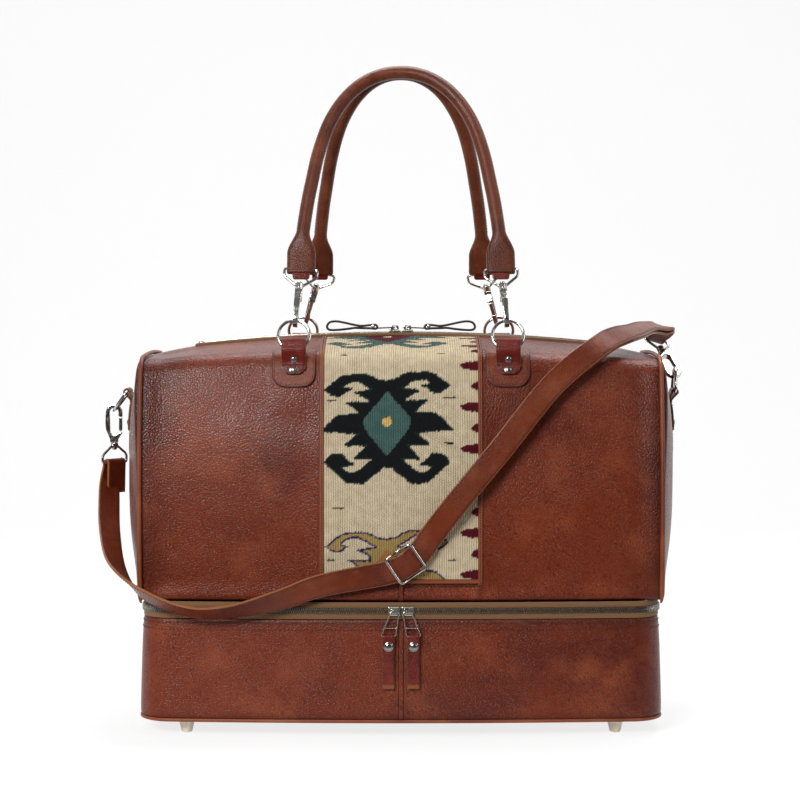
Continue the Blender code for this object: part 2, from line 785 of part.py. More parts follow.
def handle_plane(side_y):
    """Return the plane that a handle and its rings lie in: X along the bag, Z up in it."""
    lean = handle_lean()
    up = Vector((0, -side_y * math.sin(lean), math.cos(lean)))
    return axes_at(ring_eye(side_y), X_AXIS, up)


def ring_mesh(centre, normal, radius, segments=22, sides=7):
    """Return a round wire ring."""
    side = normal.orthogonal().normalized()
    other = normal.cross(side)
    angles = [2 * math.pi * i / segments for i in range(segments)]
    points = [centre + radius * (math.cos(a) * side + math.sin(a) * other) for a in angles]
    return tube_mesh(points, RING_WIRE_RADIUS, sides, closed=True, reference=normal)


def rounded_tongue(half_width, length, top, corner):
    """Return a U outline as (a, b): straight top at b = top, round lower corners."""
    points = [(half_width, top)]
    points += arc((half_width - corner, -length + corner), corner, 0, -90, 4)
    points += arc((-half_width + corner, -length + corner), corner, 270, 180, 4)
    points.append((-half_width, top))
    return points


def tongue_mesh(place, outline, low, high):
    """Extrude an outline of (x, z) points between two depths along the place's Y."""
    rings = [[place @ Vector((a, depth, b)) for a, b in outline] for depth in (low, high)]
    return loft(rings)


def make_ring_mounts():
    """Patches, folded tabs and rings, two on the front and two on the back."""
    for depth_name, side_y in (("front", -1), ("back", 1)):
        plane = handle_plane(side_y)
        for side_name, side_x in (("left", -1), ("right", 1)):
            name = f"{depth_name}_{side_name}"
            x = side_x * RING_OFFSET_X
            centre = plane @ Vector((x, 0, RING_RADIUS))
            normal = plane.to_3x3() @ Y_AXIS
            ring = ring_mesh(centre, normal, RING_RADIUS)
            pivot = plane @ Vector((x, 0, 0))
            add_object(f"ring_{name}", ring, NICKEL, pivot)
            tab = ring_tab_mesh(x)
            if side_y > 0:
                tab.transform(Matrix.Scale(-1, 4, Y_AXIS))
                tab.flip_normals()
            add_object(f"ring_tab_{name}", tab, LEATHER)


def section_point(x, start, travel, offset):
    """Return the front surface's point at x, a travel above a height, moved outwards."""
    points = [Vector((y, z)) for y, z in front_half_section(x)]
    points.append(Vector((0.0, ridge_height(x))))
    left = travel
    for a, b in zip(points, points[1:]):
        if b.y <= start and b.x < -0.08:
            continue
        low = a
        if a.y < start:
            low = a.lerp(b, (start - a.y) / (b.y - a.y))
        length = (b - low).length
        if left <= length:
            spot = low.lerp(b, left / length)
            along = (b - a).normalized()
            return Vector((x, spot.x - offset * along.y, spot.y + offset * along.x))
        left -= length
    raise ValueError("travel runs past the section")


def tongue_on_body(x, low, length, width, corner, inner, outer):
    """Return a U-shaped leather piece that follows the body's front and fold."""
    rings = []
    steps = 14
    for i in range(steps + 1):
        travel = length * i / steps if i > 3 else corner * (1 - math.cos(i * math.pi / 8))
        if i == 0:
            travel = 0.06 * corner
        inset = max(0.0, corner - travel)
        half = width / 2 - corner + math.sqrt(max(0.0, corner**2 - inset**2))
        ring = [section_point(x + side * half, low, travel, inner) for side in (-1, 1)]
        ring += [section_point(x + side * half, low, travel, outer) for side in (1, -1)]
        rings.append(ring)
    return loft(rings)


def ring_tab_mesh(x):
    """Return a patch with a riveted tab that folds over a ring, on the bag's front."""
    fold = fold_height(x)
    low = fold - PATCH_DROP
    gap = 2.5 * SEAM_GAP
    thick = gap + PATCH_THICKNESS
    body = tongue_on_body(x, low, PATCH_LENGTH, PATCH_WIDTH, 13 * MM, gap, thick)
    inner = thick - 0.5 * MM
    outer = thick + 2 * TAB_THICKNESS
    tab_low = fold - TAB_DROP
    profile_in = []
    profile_out = []
    for share in (0.0, 0.25, 0.5, 0.75, 1.0):
        travel = share * TAB_LENGTH
        profile_in.append(section_point(x, tab_low, travel, inner).yz)
        profile_out.append(section_point(x, tab_low, travel, outer).yz)
    plane = handle_plane(-1) @ Matrix.Translation((x, 0, 0))
    crown = (plane @ Vector((0, 0, 2 * MM))).yz
    outline = profile_in + [crown] + list(reversed(profile_out))
    rings = [
        [Vector((x + side * TAB_WIDTH / 2, y, z)) for y, z in outline] for side in (-1, 1)
    ]
    body = boolean(body, loft(rings), "UNION")
    half_slot = RING_WIRE_RADIUS + TAB_PLAY
    slot_low = half_slot - RING_WIRE_RADIUS - 2 * PIN_GAP
    slot_high = TAB_RISE - half_slot - TAB_THICKNESS
    width = TAB_WIDTH / 2 - 0.02 * MM
    for radius, half_length, kind in (
        (half_slot + TAB_THICKNESS, width, "UNION"),
        (half_slot, TAB_WIDTH, "DIFFERENCE"),
    ):
        oval = arc((0, slot_high), radius, 0, 180, 8) + arc((0, slot_low), radius, 180, 360, 8)
        rings = [[plane @ Vector((a, b, c)) for b, c in oval] for a in (-half_length, half_length)]
        body = boolean(body, loft(rings), kind)
    for travel in (RIVET_RISE, RIVET_RISE + RIVET_SPACING):
        spot = section_point(x, tab_low, travel, outer)
        ahead = section_point(x, tab_low, travel, outer + 1 * MM)
        dome = dome_mesh(spot, (ahead - spot).normalized(), RIVET_RADIUS, 1.5 * MM, 10)
        body = boolean(body, dome, "UNION")
    return body


# Swivel snap hooks


def hook_outline():
    """Return a hook's side outline as (w, s) points, with the gate's side at +w."""
    inner = HOOK_INNER_RADIUS
    outer = inner + HOOK_WALL
    bend = inner - RING_WIRE_RADIUS - HOOK_SEAT_GAP
    nose = bend + 4.6 * MM
    lug = GATE_PIVOT_S + GATE_HALF_WIDTH + 2 * PIN_GAP
    barrel = HOOK_BARREL_RADIUS
    end = HOOK_LENGTH
    points = [(outer, nose)]
    points += arc((0, bend), outer, 0, -180, 10)
    points += [(-outer - 0.4 * MM, 0.4 * end), (-outer + 0.2 * MM, 0.6 * end)]
    points += [(-1.35 * barrel, 0.8 * end), (-barrel, 0.9 * end), (-barrel, end)]
    points += [(barrel, end), (barrel, 0.9 * end), (1.5 * barrel, 0.8 * end)]
    points += [(outer - 0.2 * MM, lug + 1.2 * MM), (outer - 0.2 * MM, lug)]
    points += [(inner + 0.2 * MM, lug)]
    points += arc((0, lug - 1.6 * MM), inner, 40, 150, 4)
    points += arc((0, bend), inner, 180, 360, 8)
    points += [(inner, nose - 1.0 * MM), (inner + 1.3 * MM, nose)]
    return points


def hook_half_thickness(s):
    """Return half a hook's thickness at s, thin at the bend and thick at the barrel."""
    share = min(1.0, max(0.0, s / HOOK_LENGTH))
    return 0.5 * (HOOK_THICKNESS_BEND + (HOOK_THICKNESS_BARREL - HOOK_THICKNESS_BEND) * share)


def hook_mesh():
    """Return a hook with the headed post that turns in the strap loop's collar."""
    body = prism(hook_outline(), hook_half_thickness, Matrix.Identity(4))
    collar_end = HOOK_LENGTH + COLLAR_HEIGHT + 2 * PIN_GAP
    head = collar_end + 1.6 * MM
    overlap = 1 * MM
    levels = (
        (HOOK_LENGTH - overlap, POST_RADIUS),
        (collar_end, POST_RADIUS),
        (collar_end, 1.75 * POST_RADIUS),
        (head - 0.5 * MM, 1.65 * POST_RADIUS),
        (head, 0.9 * POST_RADIUS),
    )
    sides = 10
    rings = []
    for s, r in levels:
        angles = [2 * math.pi * i / sides for i in range(sides)]
        rings.append([Vector((r * math.cos(a), r * math.sin(a), s)) for a in angles])
    return boolean(body, loft(rings), "UNION")


def gate_mesh():
    """Return the sprung gate between a hook's nose and its lug."""
    inner = HOOK_INNER_RADIUS
    nose = inner - RING_WIRE_RADIUS - HOOK_SEAT_GAP + 4.6 * MM
    middle = gate_pivot_w()
    half = GATE_HALF_WIDTH
    tip = nose + PIN_GAP
    outline = arc((middle, GATE_PIVOT_S), half, 0, 180, 6)
    outline += [(middle - half, 0.5 * (tip + GATE_PIVOT_S)), (middle - 0.8 * half, tip)]
    outline += [(middle + half, tip), (middle + 1.1 * half, 0.5 * (tip + GATE_PIVOT_S))]
    hinge = Matrix.Translation((0, -middle, -GATE_PIVOT_S))
    return prism(outline, lambda b: GATE_THICKNESS / 2, hinge)


def gate_pivot_w():
    """Return the gate pivot's place across the hook."""
    return HOOK_INNER_RADIUS + 0.5 * HOOK_WALL


def loop_mesh():
    """Return the strap loop: a bent wire whose foot is a bored collar."""
    half = LOOP_INNER_WIDTH / 2 + LOOP_WIRE_RADIUS
    collar_low = HOOK_LENGTH + PIN_GAP
    collar_middle = collar_low + COLLAR_HEIGHT / 2
    bar = collar_middle + LOOP_HEIGHT
    shoulder = bar - LOOP_SHOULDER
    corner = 2.2 * MM
    start = 0.75 * COLLAR_RADIUS
    half_route = [
        Vector((start, 0, collar_middle)),
        Vector((0.55 * half, 0, 0.55 * collar_middle + 0.45 * shoulder)),
        Vector((half - 0.8 * corner, 0, shoulder - 0.6 * corner)),
        Vector((half, 0, shoulder + 0.7 * corner)),
        Vector((half, 0, bar - corner)),
        Vector((half - 0.3 * corner, 0, bar - 0.3 * corner)),
        Vector((half - corner, 0, bar)),
    ]
    route = half_route + [Vector((-p.x, p.y, p.z)) for p in reversed(half_route)]
    wire = tube_mesh(route, LOOP_WIRE_RADIUS, 8, reference=Y_AXIS)
    low = Vector((0, 0, collar_low))
    high = Vector((0, 0, collar_low + COLLAR_HEIGHT))
    body = boolean(wire, rod_mesh(low, high, COLLAR_RADIUS, 12), "UNION")
    reach = COLLAR_HEIGHT * Z_AXIS
    bore = rod_mesh(low - reach, high + reach, POST_RADIUS + PIN_GAP, 12)
    return boolean(body, bore, "DIFFERENCE")


def loop_bar_height():
    """Return the strap loop's bar height above the ring's wire, along the hook."""
    return HOOK_LENGTH + PIN_GAP + COLLAR_HEIGHT / 2 + LOOP_HEIGHT


def add_placed(name, mesh, place, finish, pivot=None):
    """Add a copy of a shared mesh at a place, with its origin on that place."""
    made = add_object(name, mesh, finish)
    made.matrix_world = place
    return made


def hook_tilt(half_span):
    """Return how far a handle's hooks lean towards the bag's middle."""
    reach = RING_RADIUS + loop_bar_height()
    return math.asin((RING_OFFSET_X - half_span) / reach)


def handle_hook_place(side_y, side_x, half_span):
    """Return a handle hook's place: origin on the ring's wire, Z towards the swivel."""
    plane = handle_plane(side_y)
    tilt = hook_tilt(half_span)
    along = Vector((-side_x * math.sin(tilt), 0, math.cos(tilt)))
    seat = Vector((side_x * RING_OFFSET_X, 0, RING_RADIUS)) + RING_RADIUS * along
    thick = Vector((math.cos(tilt), 0, side_x * math.sin(tilt)))
    turn = plane.to_3x3()
    inward = turn @ (-side_y * Y_AXIS)
    z_dir = turn @ along
    x_dir = inward.cross(z_dir)
    if x_dir.dot(turn @ thick) * -side_y < 0:
        x_dir = -x_dir
    return axes_at(plane @ seat, x_dir, z_dir)


def make_handle_hooks(meshes):
    """Four snap hooks between the rings and the handles."""
    spans = (("front", -1, FRONT_HANDLE_HALF_SPAN), ("back", 1, BACK_HANDLE_HALF_SPAN))
    for depth_name, side_y, half_span in spans:
        for side_name, side_x in (("left", -1), ("right", 1)):
            place = handle_hook_place(side_y, side_x, half_span)
            add_hook_set(f"{depth_name}_{side_name}", meshes, place, place)


def add_hook_set(name, meshes, hook_place, loop_place):
    """Add one snap hook's three pieces."""
    hook, gate, loop = meshes
    add_placed(f"hook_{name}", hook, hook_place, NICKEL)
    hinge = Matrix.Translation((0, gate_pivot_w(), GATE_PIVOT_S))
    add_placed(f"gate_{name}", gate, hook_place @ hinge, NICKEL)
    add_placed(f"hook_loop_{name}", loop, loop_place, NICKEL)


# Handles


def handle_route(half_span):
    """Return one half of a handle's middle line in its plane, end to apex."""
    bar = 2 * RING_RADIUS + loop_bar_height()
    ratios = (
        (1.000, -0.022),
        (1.000, 0.020),
        (0.992, 0.150),
        (0.950, 0.310),
        (0.905, 0.430),
        (0.835, 0.590),
        (0.725, 0.745),
        (0.565, 0.868),
        (0.365, 0.953),
        (0.130, 0.997),
    )
    return [Vector((half_span * a, 0, bar + HANDLE_RISE * b)) for a, b in ratios]


def handle_section(travel):
    """Return a handle's half width and half depth at a distance from its end."""
    flat = 20 * MM
    round_from = 44 * MM
    share = min(1.0, max(0.0, (travel - flat) / (round_from - flat)))
    share = share * share * (3 - 2 * share)
    half_width = SPADE_WIDTH / 2 * (1 - share) + HANDLE_RADIUS * share
    half_depth = SPADE_THICKNESS / 2 * (1 - share) + HANDLE_RADIUS * share
    return half_width, half_depth


def make_handles():
    """Two rolled leather handles with flat ends folded over the strap loops."""
    spans = (("front", -1, FRONT_HANDLE_HALF_SPAN), ("back", 1, BACK_HANDLE_HALF_SPAN))
    for name, side_y, half_span in spans:
        plane = handle_plane(side_y)
        half = handle_route(half_span)
        route = [Vector((-p.x, 0, p.z)) for p in half] + list(reversed(half))
        points = smooth_path(route, 3)
        lengths = [0.0]
        for a, b in zip(points, points[1:]):
            lengths.append(lengths[-1] + (b - a).length)
        tangents = path_tangents(points, False)
        sides = 12
        rings = []
        for point, tangent, length in zip(points, tangents, lengths):
            travel = min(length, lengths[-1] - length)
            half_width, half_depth = handle_section(travel)
            across = Y_AXIS.cross(tangent).normalized()
            power = 0.55 if travel < 30 * MM else 1.0
            ring = []
            for i in range(sides):
                angle = 2 * math.pi * (i + 0.5) / sides
                c, s = math.cos(angle), math.sin(angle)
                a = math.copysign(abs(c) ** power, c) * half_width
                b = math.copysign(abs(s) ** power, s) * half_depth
                ring.append(plane @ (point + a * across + b * Y_AXIS))
            rings.append(ring)
        mesh = loft(rings)
        for side_x in (-1, 1):
            place = handle_hook_place(side_y, side_x, half_span)
            eye = place @ Vector((0, 0, loop_bar_height()))
            across = place.to_3x3() @ X_AXIS
            bore = rod_mesh(
                eye - SPADE_WIDTH * across,
                eye + SPADE_WIDTH * across,
                LOOP_WIRE_RADIUS + PIN_GAP,
                10,
            )
            mesh = boolean(mesh, bore, "DIFFERENCE")
        side_bar = handle_hook_place(side_y, 1, half_span) @ Vector((0, 0, loop_bar_height()))
        pivot = Vector((0, side_bar.y, side_bar.z))
        add_object(f"handle_{name}", mesh, LEATHER, pivot)


# Shoulder strap


def anchor_surface(z):
    """Return the x of an end panel's middle line at height z."""
    return BODY_HALF_LENGTH + SEAM_GAP + end_stand(0.0, z)


def anchor_eye(side_x):
    """Return the middle of the fold that holds a strap ring on an end panel."""
    z = BODY_BOTTOM + ANCHOR_TOP
    fold = RING_WIRE_RADIUS + PIN_GAP + TAB_THICKNESS
    x = anchor_surface(z - 0.7 * ANCHOR_LENGTH) + SEAM_GAP + fold
    return Vector((side_x * x, 0, z))


def make_anchors():
    """A tab on each end panel that follows its bulge and folds over a ring."""
    for name, side_x in (("left", -1), ("right", 1)):
        eye = anchor_eye(side_x)
        reach = abs(eye.x)
        bore = RING_WIRE_RADIUS + PIN_GAP
        fold = bore + TAB_THICKNESS
        low = eye.z - ANCHOR_LENGTH
        mid = eye.z - ANCHOR_OUTER_LENGTH
        inner = []
        steps = 6
        for i in range(steps + 1):
            z = low + (eye.z - 1.6 * fold - low) * i / steps
            inner.append((anchor_surface(z) + SEAM_GAP, z))
        outer = []
        for x, z in reversed(inner):
            if z > mid:
                outer.append((x + 2 * TAB_THICKNESS, z))
        edge_x = anchor_surface(mid) + SEAM_GAP
        outer.append((edge_x + 2 * TAB_THICKNESS, mid))
        outer.append((edge_x + TAB_THICKNESS, mid - 0.2 * MM))
        outer.append((anchor_surface(low) + SEAM_GAP + TAB_THICKNESS, low))
        turn = arc((reach, eye.z), fold, 200, -40, 10)
        outline = inner + turn + outer
        rings = []
        for y in (-ANCHOR_WIDTH / 2, ANCHOR_WIDTH / 2):
            rings.append([Vector((side_x * x, y, z)) for x, z in outline])
        span = ANCHOR_WIDTH * Y_AXIS
        tab = boolean(loft(rings), rod_mesh(eye - span, eye + span, bore, 12), "DIFFERENCE")
        out = side_x * X_AXIS
        spot = Vector((side_x * (edge_x + 2 * TAB_THICKNESS), 0, mid + 9 * MM))
        tab = boolean(tab, dome_mesh(spot, out, RIVET_RADIUS, 1.6 * MM, 10), "UNION")
        add_object(f"strap_tab_{name}", tab, LEATHER)


def strap_ring_point(eye, out, angle):
    """Return a point of a strap ring's bow, angle 0 being its far middle."""
    across = STRAP_RING_HALF_WIDTH * math.sin(angle) * Y_AXIS
    return eye + across + STRAP_RING_HEIGHT * math.cos(angle) * out


def strap_chain(side_x):
    """Return a strap hook's seat, its direction, the ring wire's direction and the ring's."""
    eye = anchor_eye(side_x)
    if side_x < 0:
        out = Vector((-0.59, 0, -0.81)).normalized()
        return strap_ring_point(eye, out, 0.0), -Z_AXIS, Y_AXIS, out
    out = Vector((0.05, 0, 1)).normalized()
    angle = math.radians(40)
    wire = STRAP_RING_HALF_WIDTH * math.cos(angle) * Y_AXIS
    wire = wire - STRAP_RING_HEIGHT * math.sin(angle) * out
    seat = strap_ring_point(eye, out, angle)
    return seat, Vector((-0.29, 0.70, 0.65)).normalized(), wire.normalized(), out


def strap_bar(side_x):
    """Return the middle and the direction of the bar that the strap folds over."""
    seat, along, _, _ = strap_chain(side_x)
    if side_x < 0:
        across = Vector((-0.65, -0.76, 0))
    else:
        across = Vector((-0.81, -0.52, 0.27))
    across = (across - across.dot(along) * along).normalized()
    return seat + loop_bar_height() * along, across


def make_strap_hardware(meshes):
    """A ring and a snap hook at each end of the strap."""
    for name, side_x in (("left", -1), ("right", 1)):
        seat, along, wire, out = strap_chain(side_x)
        eye = anchor_eye(side_x)
        corner = 2.6 * MM
        half = STRAP_RING_HALF_WIDTH
        route = [eye - (half - corner) * Y_AXIS, eye - 0.2 * half * Y_AXIS]
        route += [eye + 0.2 * half * Y_AXIS, eye + (half - corner) * Y_AXIS]
        route += [strap_ring_point(eye, out, math.radians(a)) for a in range(84, -90, -12)]
        ring = tube_mesh(route, RING_WIRE_RADIUS, 8, closed=True, reference=out.cross(Y_AXIS))
        add_object(f"strap_ring_{name}", ring, NICKEL)
        hook_place = axes_at(seat, wire - wire.dot(along) * along, along)
        if side_x < 0:
            hook_place = axes_at(seat, Y_AXIS, along)
        _, across = strap_bar(side_x)
        add_hook_set(f"strap_{name}", meshes, hook_place, axes_at(seat, across, along))


def adjuster_place():
    """Return the adjuster's place: X along the strap, Y across it, Z towards the front."""
    turn = math.radians(ADJUSTER_TURN)
    depth = -front_surface(0.0, ADJUSTER_HEIGHT) + 10.2 * MM
    origin = Vector((ADJUSTER_X, -depth, ADJUSTER_HEIGHT))
    return axes_at(origin, Vector((math.cos(turn), 0, math.sin(turn))), -Y_AXIS)


def adjuster_sink():
    """Return how far the centre bar lies behind the end bars."""
    return 4.9 * MM


def make_adjuster():
    """The strap's wire slider: a bowed square frame with a bar across its middle."""
    place = adjuster_place()
    half = ADJUSTER_SIZE / 2 - ADJUSTER_WIRE_RADIUS
    corner = 3 * MM
    flat = half - corner
    points = []
    for i in range(9):
        a = flat * (i / 4 - 1)
        points.append((a, -half))
    points += arc((flat, -flat), corner, -60, 0, 2)
    points += arc((flat, flat), corner, 0, 60, 2)
    points += [(-a, half) for a, _ in points[:9]]
    points += arc((-flat, flat), corner, 120, 180, 2)
    points += arc((-flat, -flat), corner, 180, 240, 2)
    sink = adjuster_sink()
    route = [place @ Vector((a, b, -sink * max(0.0, 1 - (a / flat) ** 2))) for a, b in points]
    front = place.to_3x3() @ Z_AXIS
    frame = tube_mesh(route, ADJUSTER_WIRE_RADIUS, 8, closed=True, reference=front)
    low = place @ Vector((0, -half, -sink))
    high = place @ Vector((0, half, -sink))
    bar = rod_mesh(low, high, 0.96 * ADJUSTER_WIRE_RADIUS, 10)
    add_object("strap_adjuster", boolean(frame, bar, "UNION"), NICKEL)


def strap_left_route():
    """Return the strap's middle line and width directions, from the left bar to the adjuster."""
    return [
        ((-291.5, -3, 238), (-0.6, -0.78, 0.1)),
        ((-287.5, -18, 221), (-0.35, -0.8, 0.45)),
        ((-279.5, -50, 197), (0.0, -0.72, 0.69)),
        ((-267.5, -93, 171), (0.05, -0.74, 0.66)),
        ((-252.5, -121.5, 152.5), (0.1, -0.8, 0.6)),
        ((-231.3, -129, 136.5), (0.1, -0.85, 0.5)),
        ((-207.2, -134, 125.5), (0.1, -0.9, 0.42)),
        ((-183.8, -134.5, 122.5), (0.0, -0.88, 0.47)),
        ((-152.5, -134.5, 125.7), (-0.1, -0.75, 0.65)),
        ((-113.5, -132, 135.4), (-0.2, -0.45, 0.87)),
        ((-76.0, -129.5, 148.2), (-0.28, -0.25, 0.93)),
    ]


def strap_right_route():
    """Return the folded strap's middle line and width directions, adjuster to right bar."""
    return [
        ((52, -133.5, 226.5), (-0.77, 0.0, 0.64)),
        ((95, -129.5, 278.7), (-0.77, 0.0, 0.64)),
        ((144.4, -118, 338.6), (-0.77, 0.05, 0.64)),
        ((190.8, -98, 375), (-0.73, 0.35, 0.6)),
        ((211.5, -70, 384), (-0.76, 0.33, 0.56)),
        ((231, -30, 387.5), (-0.82, 0.42, 0.39)),
        ((247.5, 10, 390.5), (-0.9, 0.3, 0.28)),
    ]


def ribbon_mesh(stations):
    """Sweep the strap's flat section through (point, width direction) stations."""
    points = [point for point, _ in stations]
    rings = []
    for (point, width), tangent in zip(stations, path_tangents(points, False)):
        across = (width - width.dot(tangent) * tangent).normalized()
        normal = tangent.cross(across)
        a = STRAP_WIDTH / 2 * across
        b = STRAP_THICKNESS / 2 * normal
        rings.append([point - a - b, point + a - b, point + a + b, point - a + b])
    return loft(rings)


def smooth_stations(stations, steps):
    """Return a finer list of stations through the given ones."""
    points = smooth_path([p for p, _ in stations], steps)
    widths = smooth_path([w for _, w in stations], steps)
    return list(zip(points, widths))


def wrap_stations(centre, across, start, radius, steps):
    """Return stations on a half circle round a bar, from the start direction on."""
    side = across.cross(start).normalized()
    stations = []
    for i in range(steps + 1):
        angle = math.pi * i / steps
        point = centre + radius * (math.cos(angle) * start + math.sin(angle) * side)
        stations.append((point, across))
    return stations


def make_strap():
    """One long strap, folded over both end bars and threaded through the adjuster."""
    wrap = LOOP_WIRE_RADIUS + PIN_GAP + STRAP_THICKNESS / 2
    left_bar, left_across = strap_bar(-1)
    inward = left_across.cross(-Z_AXIS).normalized()
    if inward.x < 0:
        inward = -inward
    flap = []
    for share in (1.0, 0.6, 0.25):
        point = left_bar + inward * (wrap - 1.2 * MM * share) - share * STRAP_FLAP * Z_AXIS
        flap.append((point, left_across))
    turn = wrap_stations(left_bar, left_across, inward, wrap, 8)
    if turn[4][0].z < left_bar.z:
        turn = wrap_stations(left_bar, -left_across, inward, wrap, 8)
        turn = [(point, left_across) for point, _ in turn]
    left = [(Vector(p) * MM, Vector(w)) for p, w in strap_left_route()]
    place = adjuster_place()
    level = place.to_3x3()
    weave = (
        (-22, -3.3),
        (-13, -3.1),
        (-9, -1.6),
        (-4.5, 0.5),
        (0, 1.0),
        (4.5, 0.5),
        (9, -1.6),
        (13, -3.1),
        (22, -3.1),
    )
    through = []
    for a, n in weave:
        point, width = adjuster_station(place, level, a * MM, n * MM)
        through.append((point, width))
    first = smooth_stations([turn[-1]] + left + [through[0]], 3)
    shared = [adjuster_station(place, level, 30 * MM, -4.65 * MM)]
    shared += [(Vector(p) * MM, Vector(w)) for p, w in strap_right_route()]
    right_bar, right_across = strap_bar(1)
    _, away, _, _ = strap_chain(1)
    rise = right_across.cross(away).normalized()
    if rise.z < 0:
        rise = -rise
    shared.append((right_bar + 14 * MM * rise - 2 * MM * away, right_across))
    shared.append((right_bar + 5 * MM * rise, right_across))
    fine = smooth_stations(shared, 3)
    spread = layer_spread(len(fine), wrap)
    front = offset_layer(fine, spread, 1)
    back = offset_layer(fine, spread, -1)
    turn_right = wrap_stations(right_bar, right_across, away, wrap, 8)
    if (turn_right[4][0] - right_bar).dot(rise) > 0:
        turn_right = wrap_stations(right_bar, -right_across, away, wrap, 8)
        turn_right = [(point, right_across) for point, _ in turn_right]
    behind = ((22, -6.2), (17, -6.2), (13, -6.35), (9, -7.0), (5, -7.6))
    home = [adjuster_station(place, level, a * MM, n * MM) for a, n in behind]
    sink = adjuster_sink()
    bar = place @ Vector((0, 0, -sink))
    radius = ADJUSTER_WIRE_RADIUS + PIN_GAP + STRAP_THICKNESS / 2
    centre_turn = []
    for i in range(7):
        angle = math.radians(-90 - 180 * i / 6)
        offset = Vector((math.cos(angle), 0, math.sin(angle))) * radius
        centre_turn.append((bar + level @ offset, level @ Y_AXIS))
    last = [adjuster_station(place, level, a * MM, n * MM) for a, n in ((3, -2.45), (5.5, -3.1))]
    route = flap + turn + first[1:-1] + through + front + turn_right
    route += list(reversed(back)) + home + centre_turn + last
    add_object("shoulder_strap", ribbon_mesh(route), LEATHER)


def adjuster_station(place, level, a, n):
    """Return a strap station at a distance along the adjuster and a height in it."""
    bend = 60 * MM
    side = a * a / (2 * bend) - 0.8 * MM
    slope = a / bend
    point = place @ Vector((a, side, n))
    return point, level @ Vector((-slope, 1, 0)).normalized()


def layer_spread(count, wrap):
    """Return how far the folded strap's two layers lie from their middle line."""
    close = (STRAP_THICKNESS + STRAP_LAYER_GAP) / 2
    spread = []
    for i in range(count):
        share = max(0.0, 1 - (count - 1 - i) / 7)
        spread.append(close + (wrap - close) * share)
    return spread


def offset_layer(stations, spread, side):
    """Return stations moved off a middle line towards its front or its back."""
    points = [point for point, _ in stations]
    moved = []
    rows = zip(stations, path_tangents(points, False), spread)
    for (point, width), tangent, gap in rows:
        across = (width - width.dot(tangent) * tangent).normalized()
        moved.append((point - side * gap * tangent.cross(across) * -1, across))
    return moved


def centre_on_origin():
    """Shift the whole bag, so that its bounding box stands over the origin."""
    shift = Vector((BAG_SHIFT_X, BAG_SHIFT_Y, 0))
    for made in bpy.data.objects:
        made.location = made.location + shift


def clear_scene():
    """Remove whatever the scene holds."""
    for old in list(bpy.data.objects):
        bpy.data.objects.remove(old, do_unlink=True)


def main():
    """Build the whole bag."""
    clear_scene()
    make_feet()
    make_base()
    make_body()
    make_end_panels()
    make_pipings()
    make_top_zip()
    make_top_sliders()
    make_base_sliders()
    make_ring_mounts()
    meshes = (hook_mesh(), gate_mesh(), loop_mesh())
    make_handle_hooks(meshes)
    make_handles()
    make_anchors()
    make_strap_hardware(meshes)
    make_adjuster()
    make_strap()
    centre_on_origin()


main()
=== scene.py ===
# %% [markdown]
# # A leather travel bag, dressed piece by piece
# The real bag is a weekend bag of waxed cowhide with a woven wool band, metal zips and nickel
# hardware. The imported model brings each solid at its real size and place, and this lesson gives
# every piece the surface of the real one. All lengths are in metres, in the solids' own frame.

# %% Load the frame
import math

import bpy
import numpy as np
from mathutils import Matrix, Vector, noise


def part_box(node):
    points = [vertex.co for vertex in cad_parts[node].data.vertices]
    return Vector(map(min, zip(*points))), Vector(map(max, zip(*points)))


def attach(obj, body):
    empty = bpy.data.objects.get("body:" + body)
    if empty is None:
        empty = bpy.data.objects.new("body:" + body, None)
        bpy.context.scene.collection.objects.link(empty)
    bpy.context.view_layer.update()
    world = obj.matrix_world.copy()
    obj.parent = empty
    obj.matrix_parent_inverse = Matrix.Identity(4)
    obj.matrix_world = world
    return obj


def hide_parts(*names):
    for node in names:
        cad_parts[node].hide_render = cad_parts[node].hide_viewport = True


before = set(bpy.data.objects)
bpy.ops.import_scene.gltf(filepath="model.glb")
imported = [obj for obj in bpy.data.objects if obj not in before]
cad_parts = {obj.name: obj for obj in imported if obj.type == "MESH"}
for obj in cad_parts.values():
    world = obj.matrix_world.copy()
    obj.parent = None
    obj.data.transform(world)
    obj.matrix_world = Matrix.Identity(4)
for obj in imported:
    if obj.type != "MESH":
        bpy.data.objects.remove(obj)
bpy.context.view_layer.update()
MM = 0.001
ROUND = 2 * math.pi
SIDES = ((-1, "left"), (1, "right"))
DEPTHS = ((-1, "front"), (1, "back"))
wall_low, wall_high = (np.array(corner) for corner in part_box("base_wall"))
SHIFT = (wall_low + wall_high) / 2 * (1, 1, 0)

# %% [markdown]
# ## Camera
# A product photo is taken from far away with a long lens, so upright edges stay nearly parallel.
# A place that is computed is easier to repeat than one that is found by hand in the viewport.

# %% Camera
PHOTO_PIXELS, FOCAL_PIXELS, SENSOR = 800.0, 2190.0, 36.0
CAMERA_DISTANCE, AIM_HEIGHT, LOOK_DOWN = 2.2, 0.318, math.radians(3.0)
camera_data = bpy.data.cameras.new("photo_camera")
camera = bpy.data.objects.new("photo_camera", camera_data)
bpy.context.collection.objects.link(camera)
camera_data.sensor_width = SENSOR
camera_data.lens = SENSOR * FOCAL_PIXELS / PHOTO_PIXELS
camera_data.shift_x = -1.0 / PHOTO_PIXELS
backwards = Vector((0.0, -math.cos(LOOK_DOWN), math.sin(LOOK_DOWN)))
camera.location = Vector(SHIFT) + Vector((0, 0, AIM_HEIGHT)) + CAMERA_DISTANCE * backwards
camera.rotation_euler = backwards.to_track_quat("Z", "Y").to_euler()
bpy.context.scene.camera = camera
print(f"camera: {camera_data.lens:.1f} mm lens, {CAMERA_DISTANCE} m from the bag")

